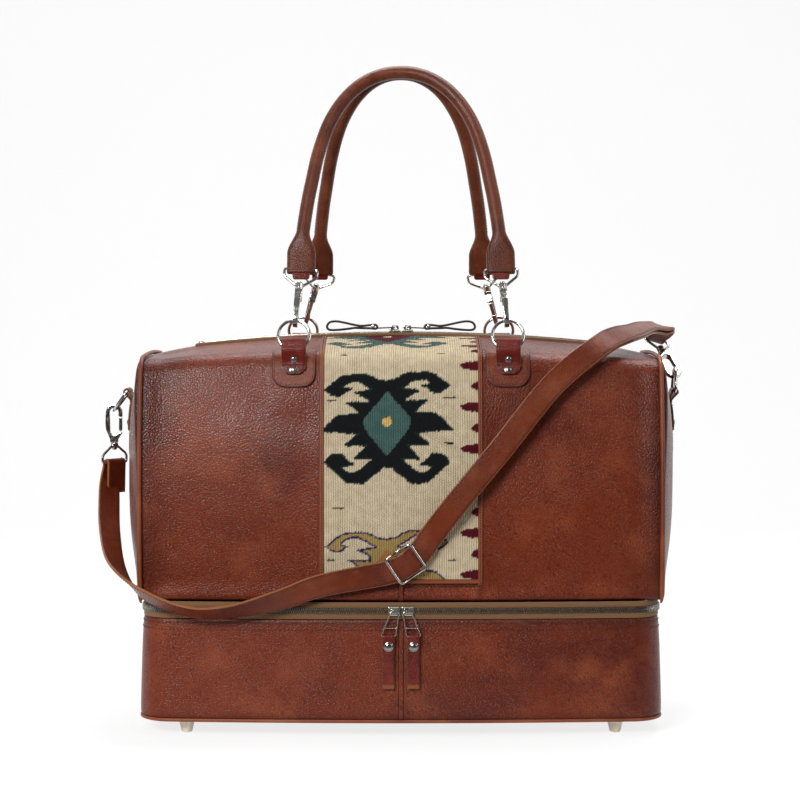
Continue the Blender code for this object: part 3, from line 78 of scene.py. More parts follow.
# %% [markdown]
# ## Floor and studio light
# Soft boxes on both sides and above give leather its broad, quiet highlights. Floor and
# background are nearly white to the camera, but the floor in front of the bag and the world's
# lower part are dark to other rays: polished metal looks like metal only when it has something
# dark as well as something bright to reflect, and dark leather keeps its depth.

# %% Floor and light
WHITE = (1.0, 1.0, 1.0, 1.0)


class Nodes:
    """Short calls that add nodes to one tree."""

    def __init__(self, tree):
        self.tree = tree

    def link(self, value, socket):
        """Link an output to a socket, or write a plain value into it."""
        if isinstance(value, bpy.types.NodeSocket):
            self.tree.links.new(value, socket)
        elif socket.type == "RGBA" and len(value) == 3:
            socket.default_value = (*value, 1.0)
        else:
            socket.default_value = value

    def add(self, kind, inputs=None, **settings):
        """Add a node with its settings and its inputs as values or links."""
        node = self.tree.nodes.new("ShaderNode" + kind)
        for key, value in settings.items():
            setattr(node, key, value)
        for key, value in (inputs or {}).items():
            self.link(value, node.inputs[key])
        return node

    def maths(self, operation, a, b=0.0, c=0.0):
        """Add a Math node and return its output."""
        return self.add("Math", {0: a, 1: b, 2: c}, operation=operation).outputs[0]

    def times(self, a, b):
        """Multiply two values."""
        return self.maths("MULTIPLY", a, b)

    def plus(self, a, b):
        """Add two values."""
        return self.maths("ADD", a, b)

    def mix(self, factor, a, b, blend="MIX"):
        """Mix two colours."""
        return self.add("Mix", {0: factor, 6: a, 7: b}, data_type="RGBA", blend_type=blend).outputs[2]

    def remap(self, value, low, high, to_low=0.0, to_high=1.0, smooth=False):
        """Map one range of values to another, clamped."""
        kind = "SMOOTHSTEP" if smooth else "LINEAR"
        inputs = {0: value, 1: low, 2: high, 3: to_low, 4: to_high}
        return self.add("MapRange", inputs, interpolation_type=kind).outputs[0]

    def place(self):
        """Return the place on the object."""
        return self.add("TexCoord").outputs["Object"]

    def noise(self, where, scale, detail, **more):
        """Add a noise texture and return its grey output."""
        values = {"Vector": where, "Scale": scale, "Detail": detail, **more}
        return self.add("TexNoise", values).outputs["Fac"]

    def grey(self, value):
        """Turn a value into a grey."""
        return self.add("CombineColor", {0: value, 1: value, 2: value}).outputs[0]

    def vector(self, operation, a, b):
        """Add a Vector Math node and return its output."""
        key = "Scale" if operation == "SCALE" else 1
        return self.add("VectorMath", {0: a, key: b}, operation=operation).outputs[0]


def fresh_material(name):
    """Return a new material, its nodes and its Principled shader."""
    made = bpy.data.materials.new(name)
    made.use_nodes = True
    return made, Nodes(made.node_tree), made.node_tree.nodes["Principled BSDF"]


def soft_box(name, place, size, power):
    """Add a rectangular area lamp that looks at the bag's middle."""
    lamp_data = bpy.data.lights.new(name, "AREA")
    lamp_data.shape = "RECTANGLE"
    lamp_data.size, lamp_data.size_y = size
    lamp_data.energy = power
    lamp = bpy.data.objects.new(name, lamp_data)
    bpy.context.collection.objects.link(lamp)
    lamp.location = place
    direction = Vector(place) - Vector((0.0, 0.0, 0.3))
    lamp.rotation_euler = direction.to_track_quat("Z", "Y").to_euler()


floor_mesh = bpy.data.meshes.new("studio_floor")
profile = [(-4.0, 0.0), (1.6, 0.0)]
profile += [(1.6 + 0.9 * math.sin(a), 0.9 - 0.9 * math.cos(a)) for a in np.linspace(0.15, 1.57, 10)]
profile += [(2.5, 4.0)]
count = len(profile)
corners = [(x, y, z) for x in (-6.0, 6.0) for y, z in profile]
floor_mesh.from_pydata(corners, [], [(i, i + count, i + count + 1, i + 1) for i in range(count - 1)])
floor_mesh.shade_smooth()
floor = bpy.data.objects.new("studio_floor", floor_mesh)
bpy.context.collection.objects.link(floor)
paper, t, shader = fresh_material("pale_paper")
shader.inputs["Roughness"].default_value = 0.9
shader.inputs["Specular IOR Level"].default_value = 0.1
plain_white = t.add("Emission", {"Color": WHITE, "Strength": 1.0})
rays = t.add("LightPath").outputs
depth = t.add("SeparateXYZ", {0: t.place()}).outputs["Y"]
near_bag = t.remap(depth, -0.40, -0.16, smooth=True)
bright = t.maths("MAXIMUM", rays["Is Camera Ray"], near_bag)
t.link(t.mix(bright, (0.10, 0.10, 0.10), (0.93, 0.93, 0.93)), shader.inputs["Base Color"])
mirrored = t.times(rays["Is Glossy Ray"], near_bag)
seen_first = t.times(t.maths("MAXIMUM", rays["Is Camera Ray"], mirrored), 0.8)
paper_mix = t.add("MixShader", {0: seen_first, 1: shader.outputs[0], 2: plain_white.outputs[0]})
t.link(paper_mix.outputs[0], t.tree.nodes["Material Output"].inputs["Surface"])
floor_mesh.materials.append(paper)

world = bpy.data.worlds.new("studio_world")
world.use_nodes = True
bpy.context.scene.world = world
t = Nodes(world.node_tree)
parts = t.add("SeparateXYZ", {0: t.add("TexCoord").outputs["Generated"]}).outputs
above = t.remap(parts["Z"], 0.0, 0.8, 0.02, 0.40, smooth=True)
beside = t.remap(t.maths("ABSOLUTE", parts["X"]), 0.25, 0.8, 0.45, 1.0, smooth=True)
rays = t.add("LightPath").outputs
mirrored = t.times(rays["Is Glossy Ray"], t.remap(parts["Y"], -0.15, 0.35, smooth=True))
plain = t.maths("MAXIMUM", rays["Is Camera Ray"], mirrored)
plain = t.maths("MAXIMUM", plain, rays["Is Transmission Ray"])
background = t.tree.nodes["Background"]
t.link(t.mix(plain, t.grey(t.times(above, beside)), WHITE), background.inputs["Color"])
background.inputs["Strength"].default_value = 1.0
soft_box("key_soft_box", (-1.0, -2.2, 1.3), (1.2, 0.7), 76)
soft_box("fill_soft_box", (2.1, -1.1, 1.2), (0.6, 1.1), 12)
soft_box("top_soft_box", (0.2, 0.5, 2.1), (1.8, 1.0), 50)
bpy.context.scene.view_settings.view_transform = "Standard"
print("studio: floor, white surroundings and three soft boxes")

# %% [markdown]
# ## Pebbled grain and hide tones as node groups
# Tumbled cowhide has small round pebbles with darker creases between them, and the waxed hide is
# never one colour: deep red where the wax lies thick and paler where the leather was bent. Cells
# that are computed in space, not on a flat map, run over every edge without a seam.

# %% Node groups
POINT, COLOUR = "NodeSocketFloat", "NodeSocketColor"


def node_group(name, inputs, outputs):
    """Make a group with named sockets; return it, its nodes, its inputs and its outputs."""
    group = bpy.data.node_groups.new(name, "ShaderNodeTree")
    for title, value in inputs.items():
        kind = COLOUR if isinstance(value, tuple) else POINT
        group.interface.new_socket(title, in_out="INPUT", socket_type=kind).default_value = value
    for title, kind in outputs.items():
        group.interface.new_socket(title, in_out="OUTPUT", socket_type=kind)
    ins, outs = group.nodes.new("NodeGroupInput"), group.nodes.new("NodeGroupOutput")
    return group, Nodes(group), ins.outputs, outs.inputs


def place_group(t, group, **inputs):
    """Put a node group in a material and return its outputs."""
    node = t.add("Group", node_tree=group)
    for key, value in inputs.items():
        t.link(value, node.inputs[key.replace("_", " ").title()])
    return node.outputs


grain, t, ins, outs = node_group(
    "pebbled_grain", {"Pebble Size": 2.2 * MM, "Looseness": 1.0}, {"Height": POINT, "Hollow": POINT}
)
where = t.place()
stir = t.add("TexNoise", {"Vector": where, "Scale": 420.0, "Detail": 1.0}).outputs["Color"]
push = t.vector("SCALE", t.vector("SUBTRACT", stir, (0.5, 0.5, 0.5)), t.times(ins["Pebble Size"], 0.45))
cell = {"Vector": t.vector("ADD", where, push), "Scale": t.maths("DIVIDE", 1.0, ins["Pebble Size"])}
domes = t.add("TexVoronoi", {**cell, "Smoothness": 0.3}, feature="SMOOTH_F1").outputs["Distance"]
creases = t.add("TexVoronoi", cell, feature="DISTANCE_TO_EDGE").outputs["Distance"]
strength = t.times(t.remap(t.noise(where, 22.0, 1.0), 0.3, 0.7, 0.8, 1.0), ins["Looseness"])
hollow = t.times(t.remap(creases, 0.0, 0.16, 1.0, 0.0, smooth=True), strength)
dome = t.times(t.remap(domes, 0.0, 0.75, 1.0, 0.0), strength)
height = t.maths("SUBTRACT", dome, t.times(hollow, 0.5))
t.link(t.plus(height, t.times(t.noise(where, 1500.0, 2.0), 0.10)), outs["Height"])
t.link(hollow, outs["Hollow"])

tone, t, ins, outs = node_group(
    "hide_tone",
    {"Base": (0.2, 0.05, 0.02, 1), "Deep": (0.08, 0.015, 0.008, 1), "Pale": (0.32, 0.13, 0.06, 1),
     "Spread": 1.0},
    {"Color": COLOUR, "Rubbed": POINT},
)
where = t.place()
clouds = t.noise(where, t.times(ins["Spread"], 7.0), 5.0, Distortion=0.4)
drift = t.vector("ADD", where, (3.1, 7.7, 1.3))
rubs = t.noise(drift, t.times(ins["Spread"], 19.0), 6.0, Roughness=0.62)
rubbed = t.remap(rubs, 0.48, 0.78, smooth=True)
colour = t.mix(t.remap(clouds, 0.42, 0.72, 0.0, 0.9, smooth=True), ins["Base"], ins["Deep"])
t.link(t.mix(t.times(rubbed, 0.6), colour, ins["Pale"]), outs["Color"])
t.link(rubbed, outs["Rubbed"])

fine_marks, t, ins, outs = node_group("fine_marks", {"Size": 1.0 * MM}, {"Mask": POINT, "Height": POINT})
specks = t.noise(t.place(), t.maths("DIVIDE", 1.0, ins["Size"]), 3.0)
t.link(t.remap(specks, 0.35, 0.7), outs["Mask"])
t.link(specks, outs["Height"])
print("groups:", grain.name, tone.name, fine_marks.name)

# %% [markdown]
# ## Leather
# Each leather piece carries two values at its points: "shade" grows towards seams and edges,
# where it darkens the hide as painted shade, partly also as darker worn edges, and "paint" marks
# a cut edge. The material reads them, mixes the hide's tones, and lets the creases of the grain
# show darker than the pebbles.

# %% Leather materials
# Base, deep, pale and edge colour, pebble size in millimetres, looseness, roughness, spread
LEATHERS = {
    "cognac_body_leather": ((0.142, 0.021, 0.0045), (0.074, 0.008, 0.0020), (0.25, 0.056, 0.015),
                            (0.075, 0.028, 0.012), 2.1, 1.0, 0.27, 1.0),
    "rolled_handle_leather": ((0.115, 0.028, 0.011), (0.058, 0.012, 0.005), (0.20, 0.060, 0.025),
                              (0.06, 0.02, 0.01), 1.7, 0.6, 0.27, 1.8),
    "strap_leather": ((0.135, 0.023, 0.006), (0.072, 0.010, 0.003), (0.21, 0.055, 0.020),
                      (0.22, 0.075, 0.026), 1.6, 0.55, 0.27, 1.6),
    "patch_leather": ((0.150, 0.026, 0.006), (0.095, 0.010, 0.003), (0.24, 0.062, 0.017),
                      (0.055, 0.022, 0.012), 1.5, 0.7, 0.27, 2.2),
    "red_tab_leather": ((0.122, 0.009, 0.0045), (0.066, 0.004, 0.0025), (0.20, 0.034, 0.013),
                        (0.15, 0.050, 0.022), 1.9, 0.8, 0.27, 2.5),
    "edge_leather": ((0.205, 0.052, 0.018), (0.12, 0.024, 0.009), (0.30, 0.10, 0.038),
                     (0.06, 0.022, 0.012), 1.2, 0.4, 0.38, 1.0),
    "dark_thong_leather": ((0.030, 0.016, 0.012), (0.014, 0.008, 0.007), (0.075, 0.042, 0.03),
                           (0.02, 0.012, 0.01), 0.9, 0.5, 0.42, 1.0),
}


def dress(t, shader, colour, rough, height, strength, distance, **levels):
    """Give a shader its colour, roughness and bump, and set further levels."""
    t.link(colour, shader.inputs["Base Color"])
    t.link(rough, shader.inputs["Roughness"])
    bump = t.add("Bump", {"Height": height, "Strength": strength, "Distance": distance * MM})
    t.link(bump.outputs["Normal"], shader.inputs["Normal"])
    for key, value in levels.items():
        shader.inputs[key.replace("_", " ")].default_value = value


def point_value(t, name):
    """Read a value that a mesh carries at its points."""
    return t.add("Attribute", attribute_name=name).outputs["Fac"]


def leather(name, base, deep, pale, edge, pebble, looseness, rough, spread):
    """Make a grained leather whose creases, edges and rubbed places differ."""
    made, t, shader = fresh_material(name)
    hide = place_group(t, grain, pebble_size=pebble * MM, looseness=looseness)
    tones = place_group(t, tone, base=base, deep=deep, pale=pale, spread=spread)
    dark = t.mix(1.0, tones["Color"], (0.42, 0.30, 0.28), "MULTIPLY")
    colour = t.mix(hide["Hollow"], tones["Color"], dark)
    # Painted shade: the hide grows darker where the points' shade value is high, at seams and edges.
    painted_shade_colour = t.mix(1.0, colour, (0.34, 0.22, 0.2), "MULTIPLY")
    colour = t.mix(t.times(point_value(t, "shade"), 0.62), colour, painted_shade_colour)
    paint = point_value(t, "paint")
    gloss = t.plus(t.maths("MULTIPLY_ADD", tones["Rubbed"], 0.08, rough), t.times(hide["Hollow"], 0.10))
    relief = t.times(hide["Height"], t.maths("SUBTRACT", 1.0, paint))
    dress(t, shader, t.mix(paint, colour, edge), gloss, relief, 0.55, 0.4, Specular_IOR_Level=0.24)
    return made


(body_leather, handle_leather, strap_leather, patch_leather, tab_leather, edge_leather,
 thong_leather) = (leather(name, *row) for name, row in LEATHERS.items())
print("leathers:", len(LEATHERS))

# %% [markdown]
# ## Metal, thread, tape, wool and plastic
# Nickel plate needs little colour but a slight unevenness in its gloss. The zip tape is a fine
# twill, and the wool band is a weft-faced weave: its ribs come from waves across the band that
# small beads along the weft break up. The wool's colours are painted on its mesh further down.

# %% Metal, thread and plastic


def plain_finish(name, low, high, roughness, metallic, size=1.0, bump=0.05):
    """Make a finish whose colour and gloss vary a little with fine marks."""
    made, t, shader = fresh_material(name)
    marks = place_group(t, fine_marks, size=size * MM)
    gloss = t.remap(marks["Mask"], 0.0, 1.0, *roughness)
    dress(t, shader, t.mix(marks["Mask"], low, high), gloss, marks["Height"], bump, 0.2, Metallic=metallic)
    return made


nickel = plain_finish("nickel", (0.47, 0.455, 0.43), (0.58, 0.57, 0.545), (0.10, 0.20), 1.0, 2.5)
dark_rivet = plain_finish("rivet_nickel", (0.25, 0.24, 0.225), (0.36, 0.35, 0.33), (0.14, 0.26), 1.0)
zip_metal = plain_finish("zip_metal", (0.36, 0.34, 0.30), (0.50, 0.48, 0.43), (0.16, 0.30), 1.0)
foot_plastic = plain_finish("cream_plastic", (0.72, 0.66, 0.52), (0.80, 0.75, 0.62), (0.35, 0.5), 0.0, 3.0)
thread = plain_finish(
    "dark_thread", (0.008, 0.004, 0.003), (0.028, 0.012, 0.007), (0.55, 0.75), 0.0, 0.8, 0.4
)
print("metal, plastic and thread are ready")

# %% Tape and wool
TWILL_PITCH, WALE_PITCH, RIB_PITCH, BEAD_PITCH = 0.9 * MM, 0.7 * MM, 2.2 * MM, 1.5 * MM
tape_cloth, t, shader = fresh_material("olive_zip_tape")
axes = t.add("SeparateXYZ", {0: t.place()}).outputs
slant = t.plus(t.plus(axes["X"], axes["Z"]), axes["Y"])
twill = t.maths("SINE", t.times(slant, ROUND / TWILL_PITCH))
wale = t.maths("SINE", t.times(axes["Z"], ROUND / WALE_PITCH))
weave = t.remap(t.plus(t.times(twill, 0.6), t.times(wale, 0.4)), -1.0, 1.0)
colour = t.mix(weave, (0.085, 0.036, 0.010), (0.175, 0.082, 0.026))
dress(t, shader, colour, 0.82, weave, 0.5, 0.2, Sheen_Weight=0.15)

wool, t, shader = fresh_material("woven_wool")
dye = t.add("Attribute", attribute_name="dye").outputs["Color"]
where = t.place()
across = t.plus(t.add("SeparateXYZ", {0: where}).outputs["X"], t.times(t.noise(where, 60.0, 2.0), 1.3 * MM))
rib = t.maths("ABSOLUTE", t.maths("SINE", t.times(across, math.pi / RIB_PITCH)))
turned = t.times(t.maths("FLOOR", t.maths("DIVIDE", across, RIB_PITCH)), math.pi)
bead = t.maths("SINE", t.maths("MULTIPLY_ADD", point_value(t, "along"), ROUND / BEAD_PITCH, turned))
bead = t.remap(bead, -1.0, 1.0)
relief = t.plus(t.plus(rib, t.times(bead, 0.6)), t.times(t.noise(where, 900.0, 3.0), 0.5))
tint = t.remap(t.noise(where, 130.0, 4.0), 0.3, 0.7, 0.82, 1.06)
tint = t.times(tint, t.remap(rib, 0.0, 0.55, 0.60, 1.0))
tint = t.times(tint, t.remap(bead, 0.0, 0.5, 0.84, 1.0))
dress(t, shader, t.mix(1.0, dye, t.grey(tint), "MULTIPLY"), 0.95, relief, 0.9, 0.7,
      Specular_IOR_Level=0.04, Sheen_Weight=0.04, Sheen_Roughness=0.6)
print("tape and wool are ready")

# %% [markdown]
# ## Mesh helpers
# Leather is a sheet with a thickness and a rounded edge, so most pieces start as a grid of
# points on the right surface. The grid is thickened inwards and its open edges are closed.
# Modifiers could do parts of this, but a grid keeps full control over where a seam bends and
# where a colour changes.

# %% Mesh helpers
CORNER_SAG = 5.0 * MM
# Leathers that are missing here are cognac leather
SLOT_OF = {"rivet_nickel": "nickel", "zip_metal": "nickel"}
SLOT_OF.update((name, name) for name in (
    "nickel", "cream_plastic", "olive_zip_tape", "woven_wool", "edge_leather", "dark_thong_leather"))


def corner_sag(points):
    """Lower the bag's soft top corners a little, as an unfilled bag shows."""
    reach = np.clip((np.abs(points[:, 0]) - 0.185) / 0.068, 0, 1) ** 2
    height = np.clip((points[:, 2] - 0.23) / 0.14, 0, 1)
    points[:, 2] -= CORNER_SAG * reach * height * height
    return points


def hand_over(name, mesh, material, body, slot, replaces):
    """Link a mesh, let it ride on a body and hide the solid it stands for."""
    mesh.materials.clear()
    mesh.materials.append(material)
    made = bpy.data.objects.new(name, mesh)
    bpy.context.collection.objects.link(made)
    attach(made, body)
    # The frame brings materials too, so Blender may have put a number after the name
    plain_name = material.name.split(".")[0]
    slot or SLOT_OF.get(plain_name, "cognac_leather")
    if replaces:
        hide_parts(replaces)
    return made


def put(name, shape, material, body="bag", replaces=None, slot=None, mirror=False, sag=False, **values):
    """Make a piece from points and faces in the bag's own axes, with values at its points."""
    points, faces = np.array(shape[0], float), shape[1]
    if sag:
        points = corner_sag(points)
    if mirror:
        points[:, 1] *= -1
        faces = [tuple(reversed(f)) for f in faces]
    mesh = bpy.data.meshes.new(name)
    mesh.from_pydata((points + SHIFT).tolist(), [], [tuple(f) for f in faces])
    mesh.validate()
    for key, value in values.items():
        attribute = mesh.attributes.new(key, "FLOAT", "POINT")
        attribute.data.foreach_set("value", np.asarray(value, np.float32).ravel())
    mesh.shade_smooth()
    mesh.set_sharp_from_angle(angle=math.radians(38.0))
    return hand_over(name, mesh, material, body, slot, replaces)


def unit(vectors):
    """Return vectors of length one."""
    vectors = np.asarray(vectors, float)
    return vectors / np.maximum(np.linalg.norm(vectors, axis=-1, keepdims=True), 1e-12)


def square_to(vectors, ahead):
    """Return unit vectors turned square to the directions ahead."""
    return unit(vectors - np.sum(vectors * ahead, -1, keepdims=True) * ahead)


def run_of(points):
    """Return the length of a polyline up to each of its points."""
    return np.concatenate([[0], np.cumsum(np.linalg.norm(np.diff(points, axis=0), axis=1))])


def read_at(targets, lengths, values):
    """Return rows of values at the given lengths."""
    return np.stack([np.interp(targets, lengths, values[:, k]) for k in range(values.shape[1])], -1)


def grid_faces(rows, columns, keep=None, wrap_rows=False, wrap_columns=False, flip=False, start=0):
    """Return a grid's faces, leaving out cells that keep marks as False."""
    faces = []
    for i in range(rows if wrap_rows else rows - 1):
        for j in range(columns if wrap_columns else columns - 1):
            if keep is not None and not keep[i, j]:
                continue
            k, m = (i + 1) % rows, (j + 1) % columns
            face = (i * columns + j, k * columns + j, k * columns + m, i * columns + m)
            faces.append(tuple(start + f for f in (reversed(face) if flip else face)))
    return faces


def capped(grid, wrap_rows=False, wrap_columns=True, flip=True):
    """Return a tube's points and faces, with flat ends where it is open."""
    rows, columns = grid.shape[:2]
    faces = grid_faces(rows, columns, wrap_rows=wrap_rows, wrap_columns=wrap_columns, flip=flip)
    if not wrap_rows:
        ends = [tuple(range(columns))[::-1], tuple((rows - 1) * columns + i for i in range(columns))]
        faces += ends if flip else [end[::-1] for end in ends]
    return grid.reshape(-1, 3), faces


def closed_sheet(grid, normals, thickness, keep=None):
    """Return a grid thickened against its normals, and which of its points are in use."""
    rows, columns = grid.shape[:2]
    low = grid - thickness * normals
    total = rows * columns
    probe = np.cross(grid[1, 0] - grid[0, 0], grid[0, 1] - grid[0, 0])
    flip = float(np.dot(probe, normals[0, 0])) < 0
    faces = grid_faces(rows, columns, keep, flip=flip)
    sides = {(a, b): True for face in faces for a, b in zip(face, face[1:] + face[:1])}
    faces += grid_faces(rows, columns, keep, flip=not flip, start=total)
    faces += [(b, a, a + total, b + total) for a, b in sides if (b, a) not in sides]
    points = np.concatenate([grid.reshape(-1, 3), low.reshape(-1, 3)])
    used = np.zeros(2 * total, bool)
    used[np.unique(np.array([i for f in faces for i in f]))] = True
    renumber = np.cumsum(used) - 1
    return (points[used], [tuple(int(renumber[i]) for i in f) for f in faces]), used


def twice(values, used):
    """Return a sheet's values for its upper and lower points in use."""
    return np.concatenate([np.ravel(values)] * 2)[used]


def rounding(distance, radius):
    """Return how far a rounded edge has sunk at a distance from its end."""
    return radius - np.sqrt(radius**2 - np.clip(radius - distance, 0.0, radius) ** 2)


def smoothstep(value, low, high):
    """Return 0 below low, 1 above high, and a smooth rise between."""
    share = np.clip((np.asarray(value, float) - low) / (high - low), 0.0, 1.0)
    return share * share * (3 - 2 * share)


def softness(points, size, seed):
    """Return smooth noise between about -1 and 1 at each point."""
    points = np.asarray(points)
    shift = Vector((seed * 3.7, seed * 1.9, -seed * 2.3))
    values = [noise.noise(Vector(p) / size + shift) for p in points.reshape(-1, 3).tolist()]
    return np.array(values).reshape(points.shape[:-1])


def sweep(path, radii, sides, reference, closed=False, section=None):
    """Return a tube along a path, round or with its own section of (a, b) factors.

    The factor a runs across the path, and b runs along the reference direction.
    """
    path = np.asarray(path, float)
    ahead = unit(np.roll(path, -1, 0) - np.roll(path, 1, 0) if closed else np.gradient(path, axis=0))
    up = square_to(np.broadcast_to(np.asarray(reference, float), path.shape), ahead)
    side = np.cross(ahead, up)
    if section is None:
        angles = 2 * np.pi * np.arange(sides) / sides
        section = np.stack([np.cos(angles), np.sin(angles)], 1)
    section = np.asarray(section, float)
    radii = np.broadcast_to(np.asarray(radii, float), (len(path), 2))
    across = radii[:, None, 0:1] * section[None, :, 0:1] * side[:, None]
    along = radii[:, None, 1:2] * section[None, :, 1:2] * up[:, None]
    return capped(path[:, None] + across + along, wrap_rows=closed)


def merge(parts):
    """Join several (points, faces) pairs into one."""
    points, faces, start = [], [], 0
    for some_points, some_faces in parts:
        points.append(np.asarray(some_points))
        faces += [tuple(i + start for i in f) for f in some_faces]
        start += len(some_points)
    return np.concatenate(points), faces


def even_path(points, step):
    """Return a polyline's points again at even distances."""
    points = np.asarray(points, float)
    lengths = run_of(points)
    count = max(2, int(round(lengths[-1] / step)) + 1)
    return read_at(np.linspace(0, lengths[-1], count), lengths, points)


def smooth_curve(points, steps):
    """Return a smooth curve through points, with steps between each two."""
    points = np.asarray(points, float)
    ends = np.vstack([2 * points[0] - points[1], points, 2 * points[-1] - points[-2]])
    t = (np.arange(steps) / steps)[:, None]
    curve = [0.5 * (2 * a + (b - p) * t + (2 * p - 5 * a + 4 * b - q) * t**2
                    + (3 * a - p - 3 * b + q) * t**3)
             for p, a, b, q in zip(ends, ends[1:], ends[2:], ends[3:])]
    return np.vstack(curve + [points[-1:]])


print("helpers are ready")

# %% [markdown]
# ## Stitches
# A saddle stitch shows as a row of short, slightly slanted threads. Painted stitches vanish at a
# low angle, so every stitch is a small body of its own whose ends dive into the leather. All the
# stitches that move together are one mesh.

# %% Stitches
STITCH_PROFILE = ((-0.5, 0.45, -0.9), (-0.24, 1.0, 0.1), (0.24, 1.0, 0.1), (0.5, 0.45, -0.9))
STITCH_SIDES, THREAD_SWELL = 5, 1.3


def stitch_row(points, normals, pitch=3.3, width=0.62, slant=9.0, share=0.7):
    """Return the thread bodies of one row of stitches along a path."""
    points = np.asarray(points, float)
    normals = np.broadcast_to(np.asarray(normals, float), points.shape)
    lengths = run_of(points)
    count = max(1, int(lengths[-1] / (pitch * MM)))
    middles = (np.arange(count) + 0.5) * lengths[-1] / count
    centre, up = read_at(middles, lengths, points), unit(read_at(middles, lengths, normals))
    ahead = unit(read_at(middles + 0.4 * MM, lengths, points) - read_at(middles - 0.4 * MM, lengths, points))
    ahead = square_to(ahead, up)
    side = np.cross(up, ahead)
    c, s = math.cos(math.radians(slant)), math.sin(math.radians(slant))
    ahead, side = c * ahead + s * side, c * side - s * ahead
    long, half = share * pitch * MM, THREAD_SWELL * width / 2 * MM
    angles = [2 * math.pi * k / STITCH_SIDES for k in range(STITCH_SIDES)]
    rings = np.stack([
        centre + place * long * ahead + half * wide * math.cos(angle) * side
        + half * (rise + wide * math.sin(angle)) * up
        for place, wide, rise in STITCH_PROFILE for angle in angles
    ], 1)
    _, one = capped(np.zeros((len(STITCH_PROFILE), STITCH_SIDES, 3)))
    step = len(STITCH_PROFILE) * STITCH_SIDES
    return rings.reshape(-1, 3), [tuple(i + k * step for i in f) for k in range(count) for f in one]


def put_stitches(name, rows, body="bag", **options):
    """Join rows of stitches into one mesh of thread and return their number."""
    shape = merge(rows)
    put(f"{name}_stitches", shape, thread, body, **options)
    return len(shape[0]) // (len(STITCH_PROFILE) * STITCH_SIDES)


print("stitch maker is ready")

# %% [markdown]
# ## The bag's main curves
# The front, the fold and the ridge of the bag are shallow arcs. All leather pieces of the body lie
# on one surface, so it is written once, as an outline across the bag for any place along it, and a
# piece is a range of that outline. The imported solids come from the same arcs.

# %% Main curves
BODY_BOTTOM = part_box("body_left")[0][2]
WINDOW_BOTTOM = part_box("kilim_band")[0][2] - 0.3 * MM
ZIP_BOTTOM, ZIP_TOP = (corner[2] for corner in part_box("base_zip"))
BASE_BOTTOM, BASE_TOP = wall_low[2], wall_high[2]
BASE_HALF_LENGTH, BASE_HALF_DEPTH, BASE_CORNER, FRONT_BULGE = 254 * MM, 122 * MM, 34 * MM, 11 * MM
BODY_HALF_LENGTH, BODY_SETBACK, BODY_LEAN_IN = 250 * MM, 4 * MM, 13 * MM
FACE_BULGE, FOLD_RISE, FOLD_DROP, FOLD_RADIUS = 7 * MM, 238 * MM, 6 * MM, 17 * MM
RIDGE_RISE, RIDGE_DROP, HEM = 15 * MM, 16 * MM, 6 * MM
BAND_HALF, RING_X = 74 * MM, 102.5 * MM
Y_AXIS, Z_AXIS = np.array((0, 1.0, 0)), np.array((0, 0, 1.0))


def arc_radius(half_chord, rise):
    """Return the radius of the circle through a chord and its rise."""
    return (half_chord**2 + rise**2) / (2 * rise)


def arc_drop(x, half_chord, rise):
    """Return how far a circle's arc has dropped at x from its highest point."""
    radius = arc_radius(half_chord, rise)
    return radius - np.sqrt(radius**2 - np.asarray(x, float) ** 2)


def front_depth(x):
    """Return the base's half depth at x."""
    return BASE_HALF_DEPTH - arc_drop(x, BASE_HALF_LENGTH, FRONT_BULGE)


def fold_height(x):
    """Return the height of the fold between the front and the top."""
    return BODY_BOTTOM + FOLD_RISE - arc_drop(x, BODY_HALF_LENGTH, FOLD_DROP)


def ridge_height(x):
    """Return the height of the top's ridge, where the zip runs."""
    return BODY_BOTTOM + FOLD_RISE + RIDGE_RISE - arc_drop(x, BODY_HALF_LENGTH, RIDGE_DROP)


def cubic(corners, steps):
    """Return points on a cubic curve, without its last point."""
    p = np.asarray(corners, float)
    t = (np.arange(steps) / steps)[:, None]
    return (1 - t) ** 3 * p[0] + 3 * t * (1 - t) ** 2 * p[1] + 3 * t * t * (1 - t) * p[2] + t**3 * p[3]


section_store = {}
FRONT_STEPS = 56


def section(x):
    """Return the body's outline at x with its lengths and directions, from foot to foot."""
    key = round(float(x), 6)
    if key in section_store:
        return section_store[key]
    depth, fold, ridge = front_depth(x) - BODY_SETBACK, fold_height(x), ridge_height(x)
    height, top_depth, swell = fold - BODY_BOTTOM, depth - BODY_LEAN_IN, FACE_BULGE * 4 / 3
    turn = np.linspace(-0.5 * np.pi, -np.pi, 9)[:-1]
    foot = np.stack([-depth + HEM + HEM * np.cos(turn), BODY_BOTTOM + HEM + HEM * np.sin(turn)], 1)
    shoulder = (-top_depth + FOLD_RADIUS, fold + 0.18 * RIDGE_RISE)
    neck = (-top_depth, fold - FOLD_RADIUS)
    face = cubic([(-depth, BODY_BOTTOM + HEM), (-depth - swell, BODY_BOTTOM + 0.33 * height),
                  (-top_depth - 1.5 * swell, BODY_BOTTOM + 0.72 * height), neck], 48)
    bend = cubic([neck, (-top_depth + 0.12 * FOLD_RADIUS, fold - 0.35 * FOLD_RADIUS),
                  (-top_depth + 0.4 * FOLD_RADIUS, fold), shoulder], 14)
    top = cubic([shoulder, (0.62 * shoulder[0], shoulder[1] + 0.6 * (ridge - shoulder[1])),
                 (0.3 * shoulder[0], ridge), (0.0, ridge)], 20)
    front = np.vstack([foot, face, bend, top])
    path = np.vstack([front, [(0.0, ridge)], front[::-1] * (-1, 1)])
    section_store[key] = path, run_of(path), unit(np.gradient(path, axis=0))
    return section_store[key]


